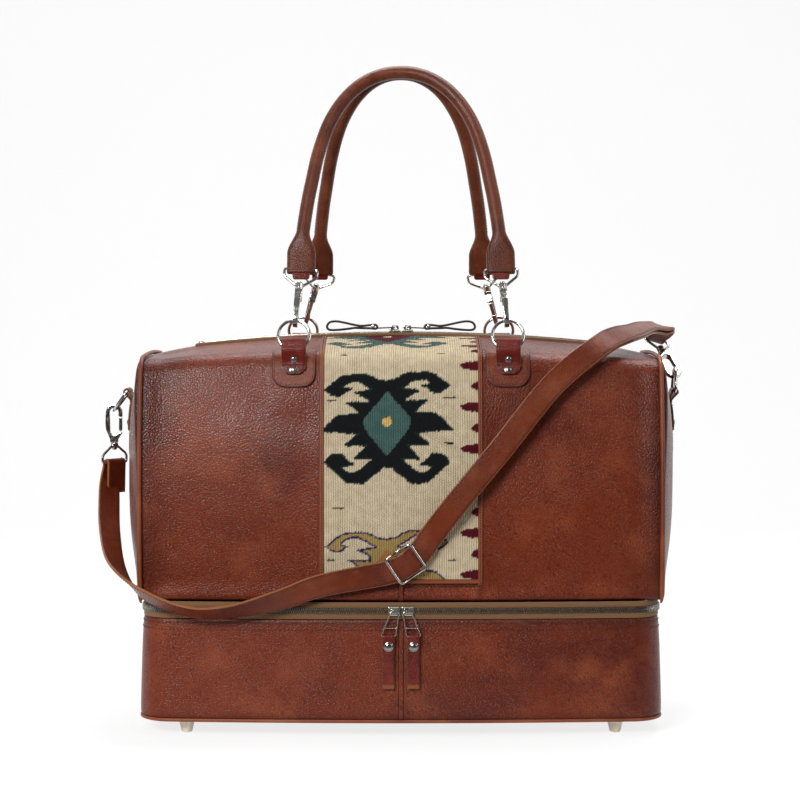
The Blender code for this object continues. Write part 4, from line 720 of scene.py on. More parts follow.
def on_section(x, travels, offset=0.0):
    """Return points and outward normals on the body at x, at lengths from the front's foot."""
    path, lengths, ahead = section(x)
    spots, along = read_at(travels, lengths, path), unit(read_at(travels, lengths, ahead))
    zeros = np.zeros(np.shape(travels))
    normals = np.stack([zeros, -along[..., 1], along[..., 0]], -1)
    points = np.stack([zeros + x, spots[..., 0], spots[..., 1]], -1)
    return points + np.asarray(offset)[..., None] * normals, normals


def travel_at(x, z):
    """Return the length from the front's foot up to the height z at x."""
    path, lengths, _ = section(x)
    return float(np.interp(z, path[:FRONT_STEPS, 1], lengths[:FRONT_STEPS]))


def whole_length(x):
    """Return the length of the outline at x."""
    return section(x)[1][-1]


def on_body(spots):
    """Return points and normals for (x, travel, offset) spots on the body."""
    pairs = [on_section(x, np.array([travel]), offset) for x, travel, offset in spots]
    return np.array([p[0][0] for p in pairs]), np.array([p[1][0] for p in pairs])


def sheet_grid(xs, travels_of, offset=0.0):
    """Return the points and normals of a grid on the body."""
    return (np.stack(part) for part in zip(*(on_section(x, travels_of(x), offset) for x in xs)))


print(f"outline at the middle: {whole_length(0) * 1000:.0f} mm from foot to foot")

# %% [markdown]
# ## Leather body panels
# The left and right panels run from the front's foot over the top to the back's foot and leave a
# window for the woven band. Real hide is not a perfect surface, so slow noise pulls it in by up
# to four millimetres away from the seams, where lining and piping hold it tight.

# %% Leather body panels
LEATHER_THICKNESS = 1.8 * MM
WINDOW_EDGE = BAND_HALF + 0.15 * MM
FOOT_ROWS, MAIN_ROWS = 10, 190
SLOW_PULL, QUICK_PULL = 4.2 * MM, 0.5 * MM


def panel_travels(x):
    """Return lengths along the outline with rows exactly at the window's ends."""
    foot, total = travel_at(x, WINDOW_BOTTOM), whole_length(x)
    low = foot * np.linspace(0, 1, FOOT_ROWS)
    main = foot + (total - 2 * foot) * np.linspace(0, 1, MAIN_ROWS)
    return np.concatenate([low[:-1], main, (total - low[::-1])[1:]])


def body_panel(side, name):
    """Make one leather half of the body."""
    edge = [e * MM for e in (0.0, 0.35, 0.8, 1.4, 2.2)]
    inner, outer = WINDOW_EDGE + edge[-1], BODY_HALF_LENGTH - edge[-1]
    inside = np.linspace(inner, outer, int((BODY_HALF_LENGTH - WINDOW_EDGE) / (3.4 * MM)))
    under = np.linspace(0.2 * MM, WINDOW_EDGE, 24)[:-1]
    xs = side * np.concatenate([under, [WINDOW_EDGE + e for e in edge[:-1]], inside,
                                [BODY_HALF_LENGTH - e for e in edge[:-1]][::-1]])
    travels = np.array([panel_travels(x) for x in xs])
    grid, normals = sheet_grid(xs, panel_travels)
    keep = np.ones(grid.shape[:2], bool)
    keep[: len(under), FOOT_ROWS - 1 : FOOT_ROWS + MAIN_ROWS - 2] = False
    total, away = travels[:, -1:], np.abs(xs)[:, None]
    distance = np.minimum(BODY_HALF_LENGTH - away, np.minimum(travels, total - travels))
    beside = away - WINDOW_EDGE
    distance = np.where(beside >= 0, np.minimum(distance, beside + 4 * MM), distance)
    ridge_gap = np.abs(travels - total / 2)
    slack = smoothstep(distance, 2 * MM, 24 * MM) * smoothstep(ridge_gap, 14 * MM, 40 * MM)
    under_patch = np.exp(-(((np.abs(grid[..., 0]) - RING_X) / (26 * MM)) ** 4))
    slack = slack * (1 - 0.9 * under_patch * smoothstep(grid[..., 2], 0.295, 0.325))
    slow = softness(grid * (1, 1, 1.7) + (0, 0, 0.6) * grid[..., :1], 92 * MM, 1 + side)
    quick = softness(grid, 21 * MM, 4 + side)
    pull = slack * (SLOW_PULL * (0.5 + 0.5 * slow) + QUICK_PULL * (0.5 + 0.5 * quick))
    grid = grid - pull[..., None] * normals
    # Painted shade darkens the panel towards its seams, the zip's ridge and the bag's ends.
    shade = 1 - smoothstep(np.minimum(distance, ridge_gap), 1 * MM, 13 * MM)
    shade = np.maximum(shade, 0.5 * smoothstep(away, 0.21, 0.25) * np.ones_like(shade))
    shape, used = closed_sheet(grid, normals, LEATHER_THICKNESS, keep)
    put(f"body_{name}_leather", shape, body_leather, replaces=f"body_{name}", sag=True,
        shade=twice(shade, used))
    return len(shape[1])


print("body panel faces:", *(body_panel(*side) for side in SIDES))

# %% [markdown]
# ## Binding and centre seam
# A folded leather strip frames the woven band and hides its cut edge. Its crown stands a
# millimetre proud. The same kind of strip covers the centre seam below the band and on the base.

# %% Binding and centre seam
BINDING_WIDTH, BINDING_CROWN, SEAM_CROWN = 4.6 * MM, 1.2 * MM, 0.8 * MM
SEAM_STITCH_X = (-1.9 * MM, 1.9 * MM)


def strip_on_body(name, xs, travels_of, width_axis, crown=BINDING_CROWN, material=edge_leather):
    """Make a rounded strip on the body; width_axis says which grid axis is its width."""
    grid, normals = sheet_grid(xs, travels_of)
    share = np.abs(np.linspace(-1, 1, grid.shape[width_axis]))
    width = np.linalg.norm(grid.take(-1, width_axis) - grid.take(0, width_axis), axis=-1).mean()
    sink = rounding((1 - share) * width / 2, 1.0 * MM)
    shape = (-1, 1) if width_axis == 0 else (1, -1)
    grid = grid + (crown - sink).reshape(*shape, 1) * normals
    # Painted shade darkens the strip towards its sides, where it meets the body.
    values = np.broadcast_to(0.9 * share.reshape(shape) ** 3, grid.shape[:2])
    made, used = closed_sheet(grid, normals, crown + 0.5 * MM)
    put(name, made, material, slot="cognac_leather", shade=twice(values, used))


rows = []
inner, outer = BAND_HALF - 0.5 * MM, BAND_HALF - 0.5 * MM + BINDING_WIDTH
start = travel_at(BAND_HALF, WINDOW_BOTTOM) - 3.5 * MM
travels = start + (whole_length(BAND_HALF) - 2 * start) * np.linspace(0, 1, 260)
for side, name in SIDES:
    strip_on_body(f"band_binding_{name}", side * np.linspace(inner, outer, 7), lambda x: travels, 0)
    path, up = on_section(side * (inner + outer) / 2, travels)
    rows.append(stitch_row(path + BINDING_CROWN * up, up, pitch=2.6, width=0.8, slant=24 * side))
foot_width = np.linspace(-3.2, 1.2, 7) * MM
seam_low = np.linspace(0.4 * MM, travel_at(0.0, WINDOW_BOTTOM) - 3 * MM, 16)
foot_spots = [(x, travel_at(x, WINDOW_BOTTOM) - 4.9 * MM, 0.1 * MM)
              for x in np.linspace(-BAND_HALF, BAND_HALF, 60)]
for side, name in DEPTHS:
    if side < 0:
        centre_travels = seam_low
        foot_travels = lambda x: travel_at(x, WINDOW_BOTTOM) + foot_width
    else:
        centre_travels = whole_length(0.0) - seam_low[::-1]
        foot_travels = lambda x: whole_length(x) - (travel_at(x, WINDOW_BOTTOM) + foot_width[::-1])
    foot_xs = np.linspace(-BAND_HALF, BAND_HALF, 60)
    strip_on_body(f"band_foot_binding_{name}", foot_xs, foot_travels, 1)
    line, up = on_body(foot_spots)
    to_back = (1, -side, 1)
    rows.append(stitch_row(line * to_back, up * to_back, pitch=3.4, width=0.85, slant=4))
    strip_on_body(f"centre_seam_{name}", np.linspace(-2.6, 2.6, 9) * MM, lambda x: centre_travels, 0,
                  crown=SEAM_CROWN, material=body_leather)
    for x in SEAM_STITCH_X:
        path, up = on_section(x, centre_travels)
        rows.append(stitch_row(path + SEAM_CROWN * up, up, pitch=3.2, width=0.6, slant=0))
print("binding stitches:", put_stitches("binding", rows))

# %% [markdown]
# ## The woven band
# The pattern is a traditional kilim figure: a stepped diamond with hooked ram's horns above and
# below, repeated along the cloth in several colourways, with teeth along one selvedge. Only half
# of the figure's outline is written down, in millimetres, and the weaver's slight slant is added
# to the mirrored half. Colours are set at the points of a fine grid.

# %% Woven band figures
CREAM, BLACK, FRINGE = (0.56, 0.46, 0.31), (0.005, 0.006, 0.007), (0.010, 0.030, 0.026)
TEAL, GOLD, OCHRE = (0.050, 0.105, 0.092), (0.62, 0.40, 0.13), (0.33, 0.225, 0.075)
RUST, NAVY, MAROON = (0.34, 0.15, 0.045), (0.014, 0.015, 0.075), (0.075, 0.003, 0.009)
FIGURE_MIDDLE, FIGURE_REPEAT, DOT_HEIGHT = -13.3, 432, 151.8
# Height above the front's middle figure, colours of body, fringe, heart and dot, and rim width
FIGURES = (
    (-150.5, OCHRE, NAVY, RUST, NAVY, 1.7), (0.0, BLACK, FRINGE, TEAL, GOLD, 0.0),
    (144.0, TEAL, MAROON, MAROON, CREAM, 0.6), (288.0, OCHRE, NAVY, TEAL, GOLD, 1.2),
    (432.0, BLACK, FRINGE, TEAL, GOLD, 0.0),
)
# Half outline from the notch between the upper horns to the notch between the lower ones
HALF_FIGURE = (
    (0.5, 190.8), (8, 192), (14, 195), (20, 197.3), (30, 197.2), (39, 196.8), (45, 194.4),
    (52.6, 188.3), (59.5, 183), (55, 179.8), (51, 177.4), (45.7, 177), (41.4, 179.3), (39.3, 182.3),
    (34, 183.8), (42.5, 184.8), (42, 186.7), (37.7, 190), (31.9, 191.2), (26.6, 190.8), (21.8, 188.3),
    (16.5, 184.6), (11.7, 182.7), (20.7, 181.6), (30, 179.7), (23.9, 177.1), (17.7, 174),
    (16.5, 170.3), (38.2, 170.3), (33.5, 167.4), (28.7, 163.5), (25.5, 158.8), (36.6, 158.8),
    (45.7, 157.8), (51.5, 153.8), (62.1, 143.1), (47.3, 142.5), (25.8, 140.7), (31.3, 137.2),
    (39.8, 129.8), (18, 129.8), (23.9, 124), (30.5, 116.7), (12.7, 117), (17.5, 112.3),
    (23.9, 106.9), (27.6, 104.3), (33.5, 102.3), (39.3, 104.6), (44.3, 108.8), (40.7, 110.1),
    (32.2, 111.6), (36.6, 113.8), (40.7, 118.1), (43.5, 120.8), (51.5, 120.8), (56.3, 117.8),
    (59.2, 113.5), (56, 110.6), (51, 105.9), (45.7, 101.1), (39.3, 95), (33.5, 93.6), (22.8, 93.3),
    (16.5, 98.9), (9, 104.3), (4.8, 108.8), (0.5, 109),
)
HALF_DIAMOND = (
    (-0.5, 182.4), (4.8, 175), (12.7, 166), (21.8, 155.3), (23, 150.6), (18.6, 141), (9, 129.8),
    (0.5, 119.2),
)
DASHES = ((-54.7, 219, 6.5), (38.7, 221, 7), (-65.9, 172.7, 9), (46.2, 175.3, 11.5), (45.6, 131.6, 8),
          (-59.5, 69.4, 10.5), (-66.4, 19.4, 7.5), (48.3, 19.4, 8))


def whole_outline(half):
    """Mirror a half outline; the mirrored half rises a little, as woven."""
    half = np.array(half)
    lift = 0.075 * half[:, 0] * np.clip((half[:, 1] - 118) / 66, 0, 1)
    left = np.stack([FIGURE_MIDDLE - half[:, 0], half[:, 1]], 1)
    right = np.stack([FIGURE_MIDDLE + half[:, 0], half[:, 1] + lift], 1)
    return np.vstack([left, right[::-1]])


def outline_distance(points, outline):
    """Return each point's distance to a closed outline, negative inside."""
    x, y = points.T
    nearest, inside = np.full(len(points), 1e9), np.zeros(len(points), bool)
    for (x0, y0), (x1, y1) in zip(outline, np.roll(outline, -1, 0)):
        dx, dy = x1 - x0, y1 - y0
        t = np.clip(((x - x0) * dx + (y - y0) * dy) / max(dx * dx + dy * dy, 1e-9), 0, 1)
        nearest = np.minimum(nearest, np.hypot(x - x0 - t * dx, y - y0 - t * dy))
        if y0 != y1:
            inside ^= ((y0 > y) != (y1 > y)) & (x < x0 + (y - y0) * dx / dy)
    return np.where(inside, -nearest, nearest)


FIGURE, DIAMOND = whole_outline(HALF_FIGURE), whole_outline(HALF_DIAMOND)


def band_colours(spots):
    """Return the dye of every point of the band, given as (across, up) in millimetres."""
    wobble = np.random.default_rng(11).random(4000)
    stepped = np.stack([np.round(spots[:, 0] / 0.75) * 0.75, spots[:, 1]], 1)
    stepped[:, 1] += 0.9 * (wobble[(np.round(spots[:, 0] / 1.5).astype(int) * 37) % 4000] - 0.5)
    colours = np.tile(CREAM, (len(spots), 1))
    for lift, body, fringe, heart, middle, rim in FIGURES:
        local = stepped - (0, lift)
        near = (local[:, 1] > 85) & (local[:, 1] < 205)
        if not near.any():
            continue
        part, chosen = local[near], colours[near]
        distance = outline_distance(part, FIGURE)
        gap = np.abs(part - (FIGURE_MIDDLE, DOT_HEIGHT))
        dot = np.maximum(gap.max(1), 0.72 * gap.sum(1))
        fringed = (distance > 0) & (distance < 1.15) & (rim == 0)
        chosen[fringed | ((distance <= 0) & (distance > -rim))] = fringe
        chosen[(distance <= 0) & (distance <= -rim)] = body
        chosen[outline_distance(part, DIAMOND) <= 0] = heart
        chosen[dot < 4.4] = middle
        colours[near] = chosen
    for k in range(36):
        odd = k % 2
        high, reach = (4.6, 8.0) if odd else (4.8, 17.5)
        fall = np.abs(stepped[:, 1] - 5.3 - 20.15 * k) / high
        edge = 74 - reach * np.sqrt(np.clip(1 - fall**2, 0, 1)) * (0.95 - 0.35 * fall if odd else 1)
        colours[(fall < 1) & (stepped[:, 0] > edge)] = MAROON
    for repeat in (0, FIGURE_REPEAT):
        for across, up, long in DASHES:
            off = np.abs(stepped - (across, up + repeat))
            colours[(off[:, 0] < long / 2) & (off[:, 1] < 0.75)] = BLACK
    return colours


print("figure points:", len(FIGURE), "figures:", len(FIGURES))

# %% Woven band cloth
CLOTH_GAP = 0.15 * MM
path_length = whole_length(0.0) - 2 * (travel_at(0.0, WINDOW_BOTTOM) + 0.3 * MM)
band_xs = np.linspace(-BAND_HALF + CLOTH_GAP, BAND_HALF - CLOTH_GAP, 116)
far = path_length / MM - 240
ups = np.concatenate([
    np.arange(0, 240, 1.2), np.linspace(240, far, 52)[1:-1], np.linspace(far, path_length / MM, 72)
]) * MM


def band_travels(x):
    """Return the cloth's lengths along the outline at x."""
    foot = travel_at(x, WINDOW_BOTTOM) + 0.3 * MM
    return foot + ups * ((whole_length(x) - 2 * foot) / path_length)


grid, normals = sheet_grid(band_xs, band_travels, -CLOTH_GAP)
side_gap = BAND_HALF - np.abs(band_xs)[:, None]
end_gap = np.minimum(ups, path_length - ups)[None]
slack = smoothstep(side_gap, 2 * MM, 22 * MM) * smoothstep(end_gap, 2 * MM, 20 * MM)
grid = grid - (slack * 0.5 * MM * (1 + softness(grid, 45 * MM, 9)))[..., None] * normals
shape, used = closed_sheet(grid, normals, 2.0 * MM)
spots = np.stack(np.meshgrid(band_xs / MM, ups / MM, indexing="ij"), -1).reshape(-1, 2)
colours = band_colours(spots)
band = put("woven_band", shape, wool, replaces="kilim_band", along=np.tile(ups, len(band_xs) * 2))
dye_layer = band.data.attributes.new("dye", "FLOAT_COLOR", "POINT")
rgba = np.concatenate([np.vstack([colours, colours]), np.ones((2 * len(colours), 1))], 1)
dye_layer.data.foreach_set("color", rgba.astype(np.float32).ravel())
print("woven band:", len(shape[1]), "faces,", round(path_length * 1000), "mm long")

# %% [markdown]
# ## Ends and piping
# Each end is one crowned panel. The cord in the seam is wrapped in thin leather, which makes the
# bag's outline crisp.

# %% Ends and piping
end_path = section(BODY_HALF_LENGTH)[0]
END_LOW, END_HIGH = BODY_BOTTOM, ridge_height(BODY_HALF_LENGTH)
END_HALF_DEPTH = front_depth(BODY_HALF_LENGTH) - BODY_SETBACK
END_SEAM, PIPING_RADIUS = 3 * MM, 2.25 * MM


def end_stand(y, z):
    """Return how far an end panel stands out beyond its seam."""
    up = np.minimum(1.0, np.abs(2 * (z - END_LOW) / (END_HIGH - END_LOW) - 1))
    across = np.minimum(1.0, np.abs(y) / END_HALF_DEPTH)
    return END_SEAM + 17 * MM * (1 - up**3) * (1 - across**2.4)


foot_line = np.stack([end_path[-1, 0] * np.linspace(1, -1, 24)[1:-1], np.full(22, BODY_BOTTOM)], 1)
rim = np.vstack([end_path, foot_line])
end_middle = np.array((0.0, (BODY_BOTTOM + fold_height(BODY_HALF_LENGTH)) / 2))
shares = np.concatenate([[0.985, 0.99, 0.985, 0.975], np.linspace(0.955, 0.03, 30)])
for side, name in SIDES:
    rings = []
    for k, share in enumerate(shares):
        flat = end_middle + (rim - end_middle) * share
        stand = end_stand(flat[:, 0], flat[:, 1])
        lift = 0.0 if k == 0 else stand - (1.2 * MM if k == 1 else 0.4 * MM if k == 2 else 0.0)
        ring = np.stack([side * (BODY_HALF_LENGTH + 0.3 * MM + lift + 0 * flat[:, 0]), *flat.T], 1)
        if k > 3:
            loose = 0.5 + 0.5 * softness(ring, 55 * MM, 20 + side)
            ring[:, 0] -= side * 0.8 * MM * smoothstep(0.96 - share, 0.0, 0.2) * loose
        rings.append(ring)
    # Painted shade darkens the end panel towards its piped rim.
    shade = np.repeat(0.8 * smoothstep(shares, 0.86, 0.98), len(rim))
    put(f"end_panel_{name}_leather", capped(np.stack(rings), flip=side < 0), body_leather,
        replaces=f"end_panel_{name}", sag=True, shade=shade)
    cord = np.stack([np.full(len(end_path), side * (BODY_HALF_LENGTH + 0.15 * MM)), *end_path.T], 1)
    ahead = unit(np.gradient(end_path, axis=0))
    outward = np.stack([0 * ahead[:, 0], -ahead[:, 1], ahead[:, 0]], 1)
    cord = even_path(cord + 2.6 * MM * outward, 2.4 * MM)
    lumps = PIPING_RADIUS + 0.12 * MM * softness(cord, 9 * MM, 31)
    gone = np.minimum(np.arange(len(cord)), np.arange(len(cord))[::-1])
    lumps = lumps * (0.35 + 0.65 * smoothstep(gone, 0, 6))
    shape = sweep(cord, np.stack([lumps, lumps], 1), 12, (1, 0, 0))
    # The piping carries a little painted shade all over.
    put(f"piping_{name}_leather", shape, edge_leather, replaces=f"piping_{name}", sag=True,
        shade=np.full(len(shape[0]), 0.1))
print("ends and piping are on")

# %% [markdown]
# ## Base compartment
# The base is a stiff tray: a leather wall round four rounded corners, a bottom with a visible
# folded edge, and four turned feet. Two rows of stitches run round it under the zip, and a
# covered seam sits in the middle of its front.

# %% Base compartment
CORNER_X = BASE_HALF_LENGTH - BASE_CORNER
CORNER_Y = front_depth(CORNER_X) - BASE_CORNER
WALL_LEVELS = ((0.0, 1.6), (0.008, 1.0), (0.03, 0.6), (0.12, 0.2), (0.3, 0.0), (0.7, 0.0),
               (0.9, 0.35), (0.975, 0.8), (0.992, 1.2), (1.0, 2.2))
WALL_TAPER, WALL_THICKNESS, SEAM_HALF = 3.5 * MM, 2.2 * MM, 2.7 * MM
BOTTOM_LEVELS = ((4.0, 0.0), (2.0, 0.05), (0.8, 0.5), (0.25, 1.2), (0.2, 2.4), (0.5, 3.2), (1.2, 3.5))
# Feet stand this far in from the ends and from the faces of the base
FOOT_FROM_END, FOOT_FROM_FACE = 46 * MM, 34 * MM
# Stitch rows run this far below the top of the base
BASE_ROW_DROPS = (4.1 * MM, 10.4 * MM)
FOOT_PROFILE = ((0.0, 3.6), (0.25, 4.4), (0.7, 5.0), (1.4, 5.3), (11.4, 7.9), (12.2, 8.6),
                (13.2, 8.9), (13.9, 8.7), (14.1, 8.2))


def plan_ring(inset, z, fine=1.0):
    """Return the base's outline at a height, drawn in by an inset."""
    xs = np.linspace(-CORNER_X, CORNER_X, int(150 * fine))
    side_y = np.linspace(-CORNER_Y, CORNER_Y, int(50 * fine))[1:-1]
    turn = np.linspace(-0.5 * np.pi, 0, int(22 * fine))[1:]
    low, high = (
        np.stack([CORNER_X + (BASE_CORNER - inset) * np.cos(a), y + (BASE_CORNER - inset) * np.sin(a)], 1)
        for y, a in ((-CORNER_Y, turn), (CORNER_Y, -turn[::-1]))
    )
    front = np.stack([xs, -front_depth(xs) + inset], 1)
    straight = np.stack([np.full(len(side_y), CORNER_X + BASE_CORNER - inset), side_y], 1)
    half = np.vstack([front, low, straight, high])
    flat = np.vstack([half, -half])
    return np.concatenate([flat, np.full((len(flat), 1), z)], 1)


def wall_inset(share):
    """Return how far the wall is drawn in at a share of its height."""
    return np.interp(share, *zip(*WALL_LEVELS)) * MM + share * WALL_TAPER


def wall_share(z):
    """Return the share of the wall's height at z."""
    return (z - BASE_BOTTOM) / (BASE_TOP - BASE_BOTTOM)


def wall_point(x, z, lift=0.0):
    """Return a point of the wall's front at x and a height."""
    return np.array((x, -front_depth(x) + wall_inset(wall_share(z)) - lift, z))


def turned(profile, centre, axis, sides=28, scale=1.0):
    """Return a solid turned about an axis through (height, radius) points in millimetres."""
    axis = unit(axis)
    side = unit(np.cross(axis, (0.31, 0.84, 0.45)))
    angles = 2 * np.pi * np.arange(sides) / sides
    circle = np.cos(angles)[:, None] * side + np.sin(angles)[:, None] * np.cross(axis, side)
    return capped(np.stack([centre + h * MM * scale * axis + r * MM * scale * circle for h, r in profile]))


shares = np.unique(np.concatenate([[s for s, _ in WALL_LEVELS], np.linspace(0, 1, 28)]))
rings = []
for share in shares:
    ring = plan_ring(wall_inset(share), BASE_BOTTOM + share * (BASE_TOP - BASE_BOTTOM))
    slack = smoothstep(min(share, 1 - share), 0.02, 0.25)
    pull = slack * 0.7 * MM * (0.5 + 0.5 * softness(ring, 48 * MM, 41))
    ring[:, 1] -= np.sign(ring[:, 1]) * pull * smoothstep(np.abs(ring[:, 0]), 6 * MM, 30 * MM)
    rings.append(ring)
outer = np.stack(rings)
inner = outer + WALL_THICKNESS * unit(np.cross(Z_AXIS, np.roll(outer, -1, 1) - np.roll(outer, 1, 1)))
# Painted shade darkens the wall towards its top and bottom.
shade = 0.75 * np.repeat(1 - smoothstep(np.minimum(shares, 0.97 - shares), 0.0, 0.09), outer.shape[1])
put("base_wall_leather", capped(np.concatenate([outer, inner[::-1]]), wrap_rows=True), body_leather,
    replaces="base_wall", shade=np.concatenate([shade, shade[::-1]]))
bottom_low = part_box("base_bottom")[0][2]
rings = [plan_ring(inset * MM, bottom_low + rise * MM, 0.8) for inset, rise in BOTTOM_LEVELS]
put("base_bottom_leather", capped(np.stack(rings)), edge_leather, replaces="base_bottom")

rows = []
for z in (BASE_TOP - drop for drop in BASE_ROW_DROPS):
    line = plan_ring(wall_inset(wall_share(z)) - 0.05 * MM, z)
    line = np.vstack([line, line[:1]])
    out = unit(np.cross(np.gradient(line, axis=0), Z_AXIS))
    rows.append(stitch_row(line, out, pitch=3.8, width=0.8, slant=0, share=0.58))
seam_z = np.linspace(BASE_BOTTOM + 1.0 * MM, BASE_TOP - 1.5 * MM, 40)
share = np.abs(np.linspace(-1, 1, 9))
lift = 0.9 * MM - rounding((1 - share) * SEAM_HALF, 0.9 * MM)
grid = np.array([[wall_point(x, z, s) for z in seam_z]
                 for x, s in zip(np.linspace(-SEAM_HALF, SEAM_HALF, 9), lift)])
shape, used = closed_sheet(grid, np.broadcast_to(-Y_AXIS, grid.shape), 1.4 * MM)
# Painted shade darkens the seam cover towards its sides.
put("base_centre_seam", shape, body_leather, shade=twice(np.repeat(0.8 * share**3, len(seam_z)), used))
for x in SEAM_STITCH_X:
    line = [wall_point(x, z, 0.75 * MM) for z in seam_z]
    rows.append(stitch_row(line, -Y_AXIS, pitch=3.6, width=0.6, slant=0, share=0.6))
print("base stitches:", put_stitches("base", rows))

for side_y, depth_name in DEPTHS:
    for side, side_name in SIDES:
        foot_x, foot_y = BASE_HALF_LENGTH - FOOT_FROM_END, BASE_HALF_DEPTH - FOOT_FROM_FACE
        spot = np.array((side * foot_x, side_y * foot_y, 0))
        node = f"foot_{depth_name}_{side_name}"
        put(f"{node}_turned", turned(FOOT_PROFILE, spot, Z_AXIS, 40), foot_plastic, replaces=node)
print("base compartment is on")

# %% [markdown]
# ## Zips
# Both zips have real metal teeth: each tooth is a small chamfered block, and the two rows mesh
# like the fingers of folded hands. A cord is woven into the tape beside the teeth.

# %% Zips
TOOTH_PITCH, TOOTH_OFFSET = 2.1 * MM, 1.25
# Rise, half length and half width of a tooth's rings in millimetres
TOOTH_RINGS = ((-0.9, 0.46, 1.75), (1.15, 0.46, 1.75), (1.5, 0.28, 1.5))
TAPE_PROFILE = ((-8.0, -1.0), (-8.0, -0.1), (-7.8, 0.0), (-4.2, 0.0), (-3.9, 0.45), (-3.3, 0.6),
                (-2.9, 0.3), (-2.7, -0.3), (2.7, -0.3), (2.9, 0.3), (3.3, 0.6), (3.9, 0.45),
                (4.2, 0.0), (7.8, 0.0), (8.0, -0.1), (8.0, -1.0))
STOP_PROFILE = ((0, 2.6), (1.6, 2.6), (2.2, 2.2), (2.4, 1.2))
ZIP_INSET = 4.2 * MM
# The base zip's teeth end at this y on both ends of the bag
BASE_ZIP_END_Y = 78 * MM
TOP_ZIP_HALF, TOP_ZIP_LIFT = 205 * MM, 0.45 * MM
# Half width and lift of the top zip's tape in millimetres
TOP_TAPE_HALF, TOP_TAPE_LIFT = 14.0, 1.4


def teeth(path, out, across):
    """Return two meshing rows of teeth along a path; all directions are per point."""
    lengths = run_of(path)
    count = int(lengths[-1] / TOOTH_PITCH)
    _, one = capped(np.zeros((3, 4, 3)), flip=False)
    parts = []
    for row, side in ((0.0, 1), (0.5, -1)):
        distance = (np.arange(count) + 0.25 + row) * TOOTH_PITCH
        centre = read_at(distance, lengths, path)
        up, wide = (unit(read_at(distance, lengths, v)) for v in (out, across))
        ahead = np.cross(wide, up)
        corners = np.stack([
            centre + rise * MM * up + a * half_long * MM * ahead
            + (side * TOOTH_OFFSET + b * half_wide) * MM * wide
            for rise, half_long, half_wide in TOOTH_RINGS for a, b in ((-1, -1), (1, -1), (1, 1), (-1, 1))
        ], 1)
        faces = [tuple(i + k * 12 for i in f) for k in range(count) for f in one]
        parts.append((corners.reshape(-1, 3), faces))
    return merge(parts)


zip_middle, half_band = (ZIP_BOTTOM + ZIP_TOP) / 2, (ZIP_TOP - ZIP_BOTTOM) / 2
rings = [plan_ring(ZIP_INSET - rise * MM, zip_middle + np.sign(height) * min(abs(height) * MM, half_band))
         for height, rise in TAPE_PROFILE]
put("base_zip_tape", capped(np.stack(rings), wrap_rows=True), tape_cloth, replaces="base_zip")
line = plan_ring(ZIP_INSET, zip_middle)
line = line[line[:, 1] < BASE_ZIP_END_Y]
line = np.roll(line, -int(np.argmax(np.linalg.norm(np.diff(line, axis=0), axis=1))) - 1, axis=0)
out = unit(np.cross(np.gradient(line, axis=0), Z_AXIS))
put("base_zip_teeth", teeth(line, out, np.broadcast_to(Z_AXIS, line.shape)), zip_metal)

top_xs = np.linspace(-TOP_ZIP_HALF, TOP_ZIP_HALF, 90)
ridge_line = np.stack([top_xs, 0 * top_xs, ridge_height(top_xs) + TOP_ZIP_LIFT], 1)
widen = TOP_TAPE_HALF / TAPE_PROFILE[-1][0]
profile = [(a * widen if abs(a) > 7 else a, b + TOP_TAPE_LIFT) for a, b in TAPE_PROFILE[1:-1]]
profile = [(-TOP_TAPE_HALF, -1.0)] + profile + [(TOP_TAPE_HALF, -1.0)]
grid = np.array([[p + (0, a * MM, b * MM) for a, b in profile] for p in ridge_line])
put("top_zip_tape", capped(grid), tape_cloth, replaces="top_zip", sag=True)
up = unit(np.cross(np.gradient(ridge_line, axis=0), Y_AXIS))
up = (up * np.sign(up[:, 2:3]))[2:-2]
line = ridge_line[2:-2] + (0, 0, TOP_TAPE_LIFT * MM)
put("top_zip_teeth", teeth(line, up, np.broadcast_to(Y_AXIS, line.shape)), zip_metal, sag=True)
for spot, name in ((ridge_line[1], "left"), (ridge_line[-2], "right")):
    stop = turned(STOP_PROFILE, spot + (0, 0, 1.2 * MM), Z_AXIS, 16)
    put(f"top_zip_stop_{name}", stop, zip_metal, sag=True)
print("zip teeth are in")

# %% [markdown]
# ## Small metal parts
# Sliders, hooks, gates and wire parts are castings or bent wire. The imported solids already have
# their outline, so each is rebuilt from small voxels and smoothed, which rounds every edge as
# casting and tumbling do.

# %% Small metal parts


def refined(node, body, material, voxel, passes):
    """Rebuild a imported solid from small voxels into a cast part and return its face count."""
    copy = bpy.data.objects.new(f"{node}_voxels", bpy.data.objects[node].data.copy())
    bpy.context.collection.objects.link(copy)
    remesh = copy.modifiers.new("voxels", "REMESH")
    remesh.mode, remesh.voxel_size = "VOXEL", voxel * MM
    soften = copy.modifiers.new("soften", "SMOOTH")
    soften.factor, soften.iterations = 0.5, passes
    bpy.context.view_layer.update()
    graph = bpy.context.evaluated_depsgraph_get()
    mesh = bpy.data.meshes.new_from_object(copy.evaluated_get(graph))
    bpy.data.objects.remove(copy, do_unlink=True)
    mesh.shade_smooth()
    hand_over(f"{node}_cast", mesh, material, body, "nickel", node)
    return len(mesh.polygons)


cast_faces = 0
for place in ("front", "back", "strap"):
    for _, side_name in SIDES:
        loop_body = "bag" if place == "strap" else f"handle_{place}_set"
        for kind, voxel, passes in (("hook", 0.52, 4), ("gate", 0.42, 3)):
            node = f"{kind}_{place}_{side_name}"
            cast_faces += refined(node, node, nickel, voxel, passes)
        cast_faces += refined(f"hook_loop_{place}_{side_name}", loop_body, nickel, 0.46, 3)
for _, side_name in SIDES:
    for kind, voxel in (("top_zip_slider", 0.35), ("base_zip_slider", 0.35), ("base_zip_wire", 0.3)):
        node = f"{kind}_{side_name}"
        cast_faces += refined(node, node, zip_metal, voxel, 2)
cast_faces += refined("strap_adjuster", "bag", nickel, 0.48, 3)
print("cast faces:", cast_faces)

# %% [markdown]
# ## Rings
# Rings are bent from round wire, so they are swept circles. The plane in which each handle, its
# hooks and its rings lie leans inwards, because the handles meet above the middle.

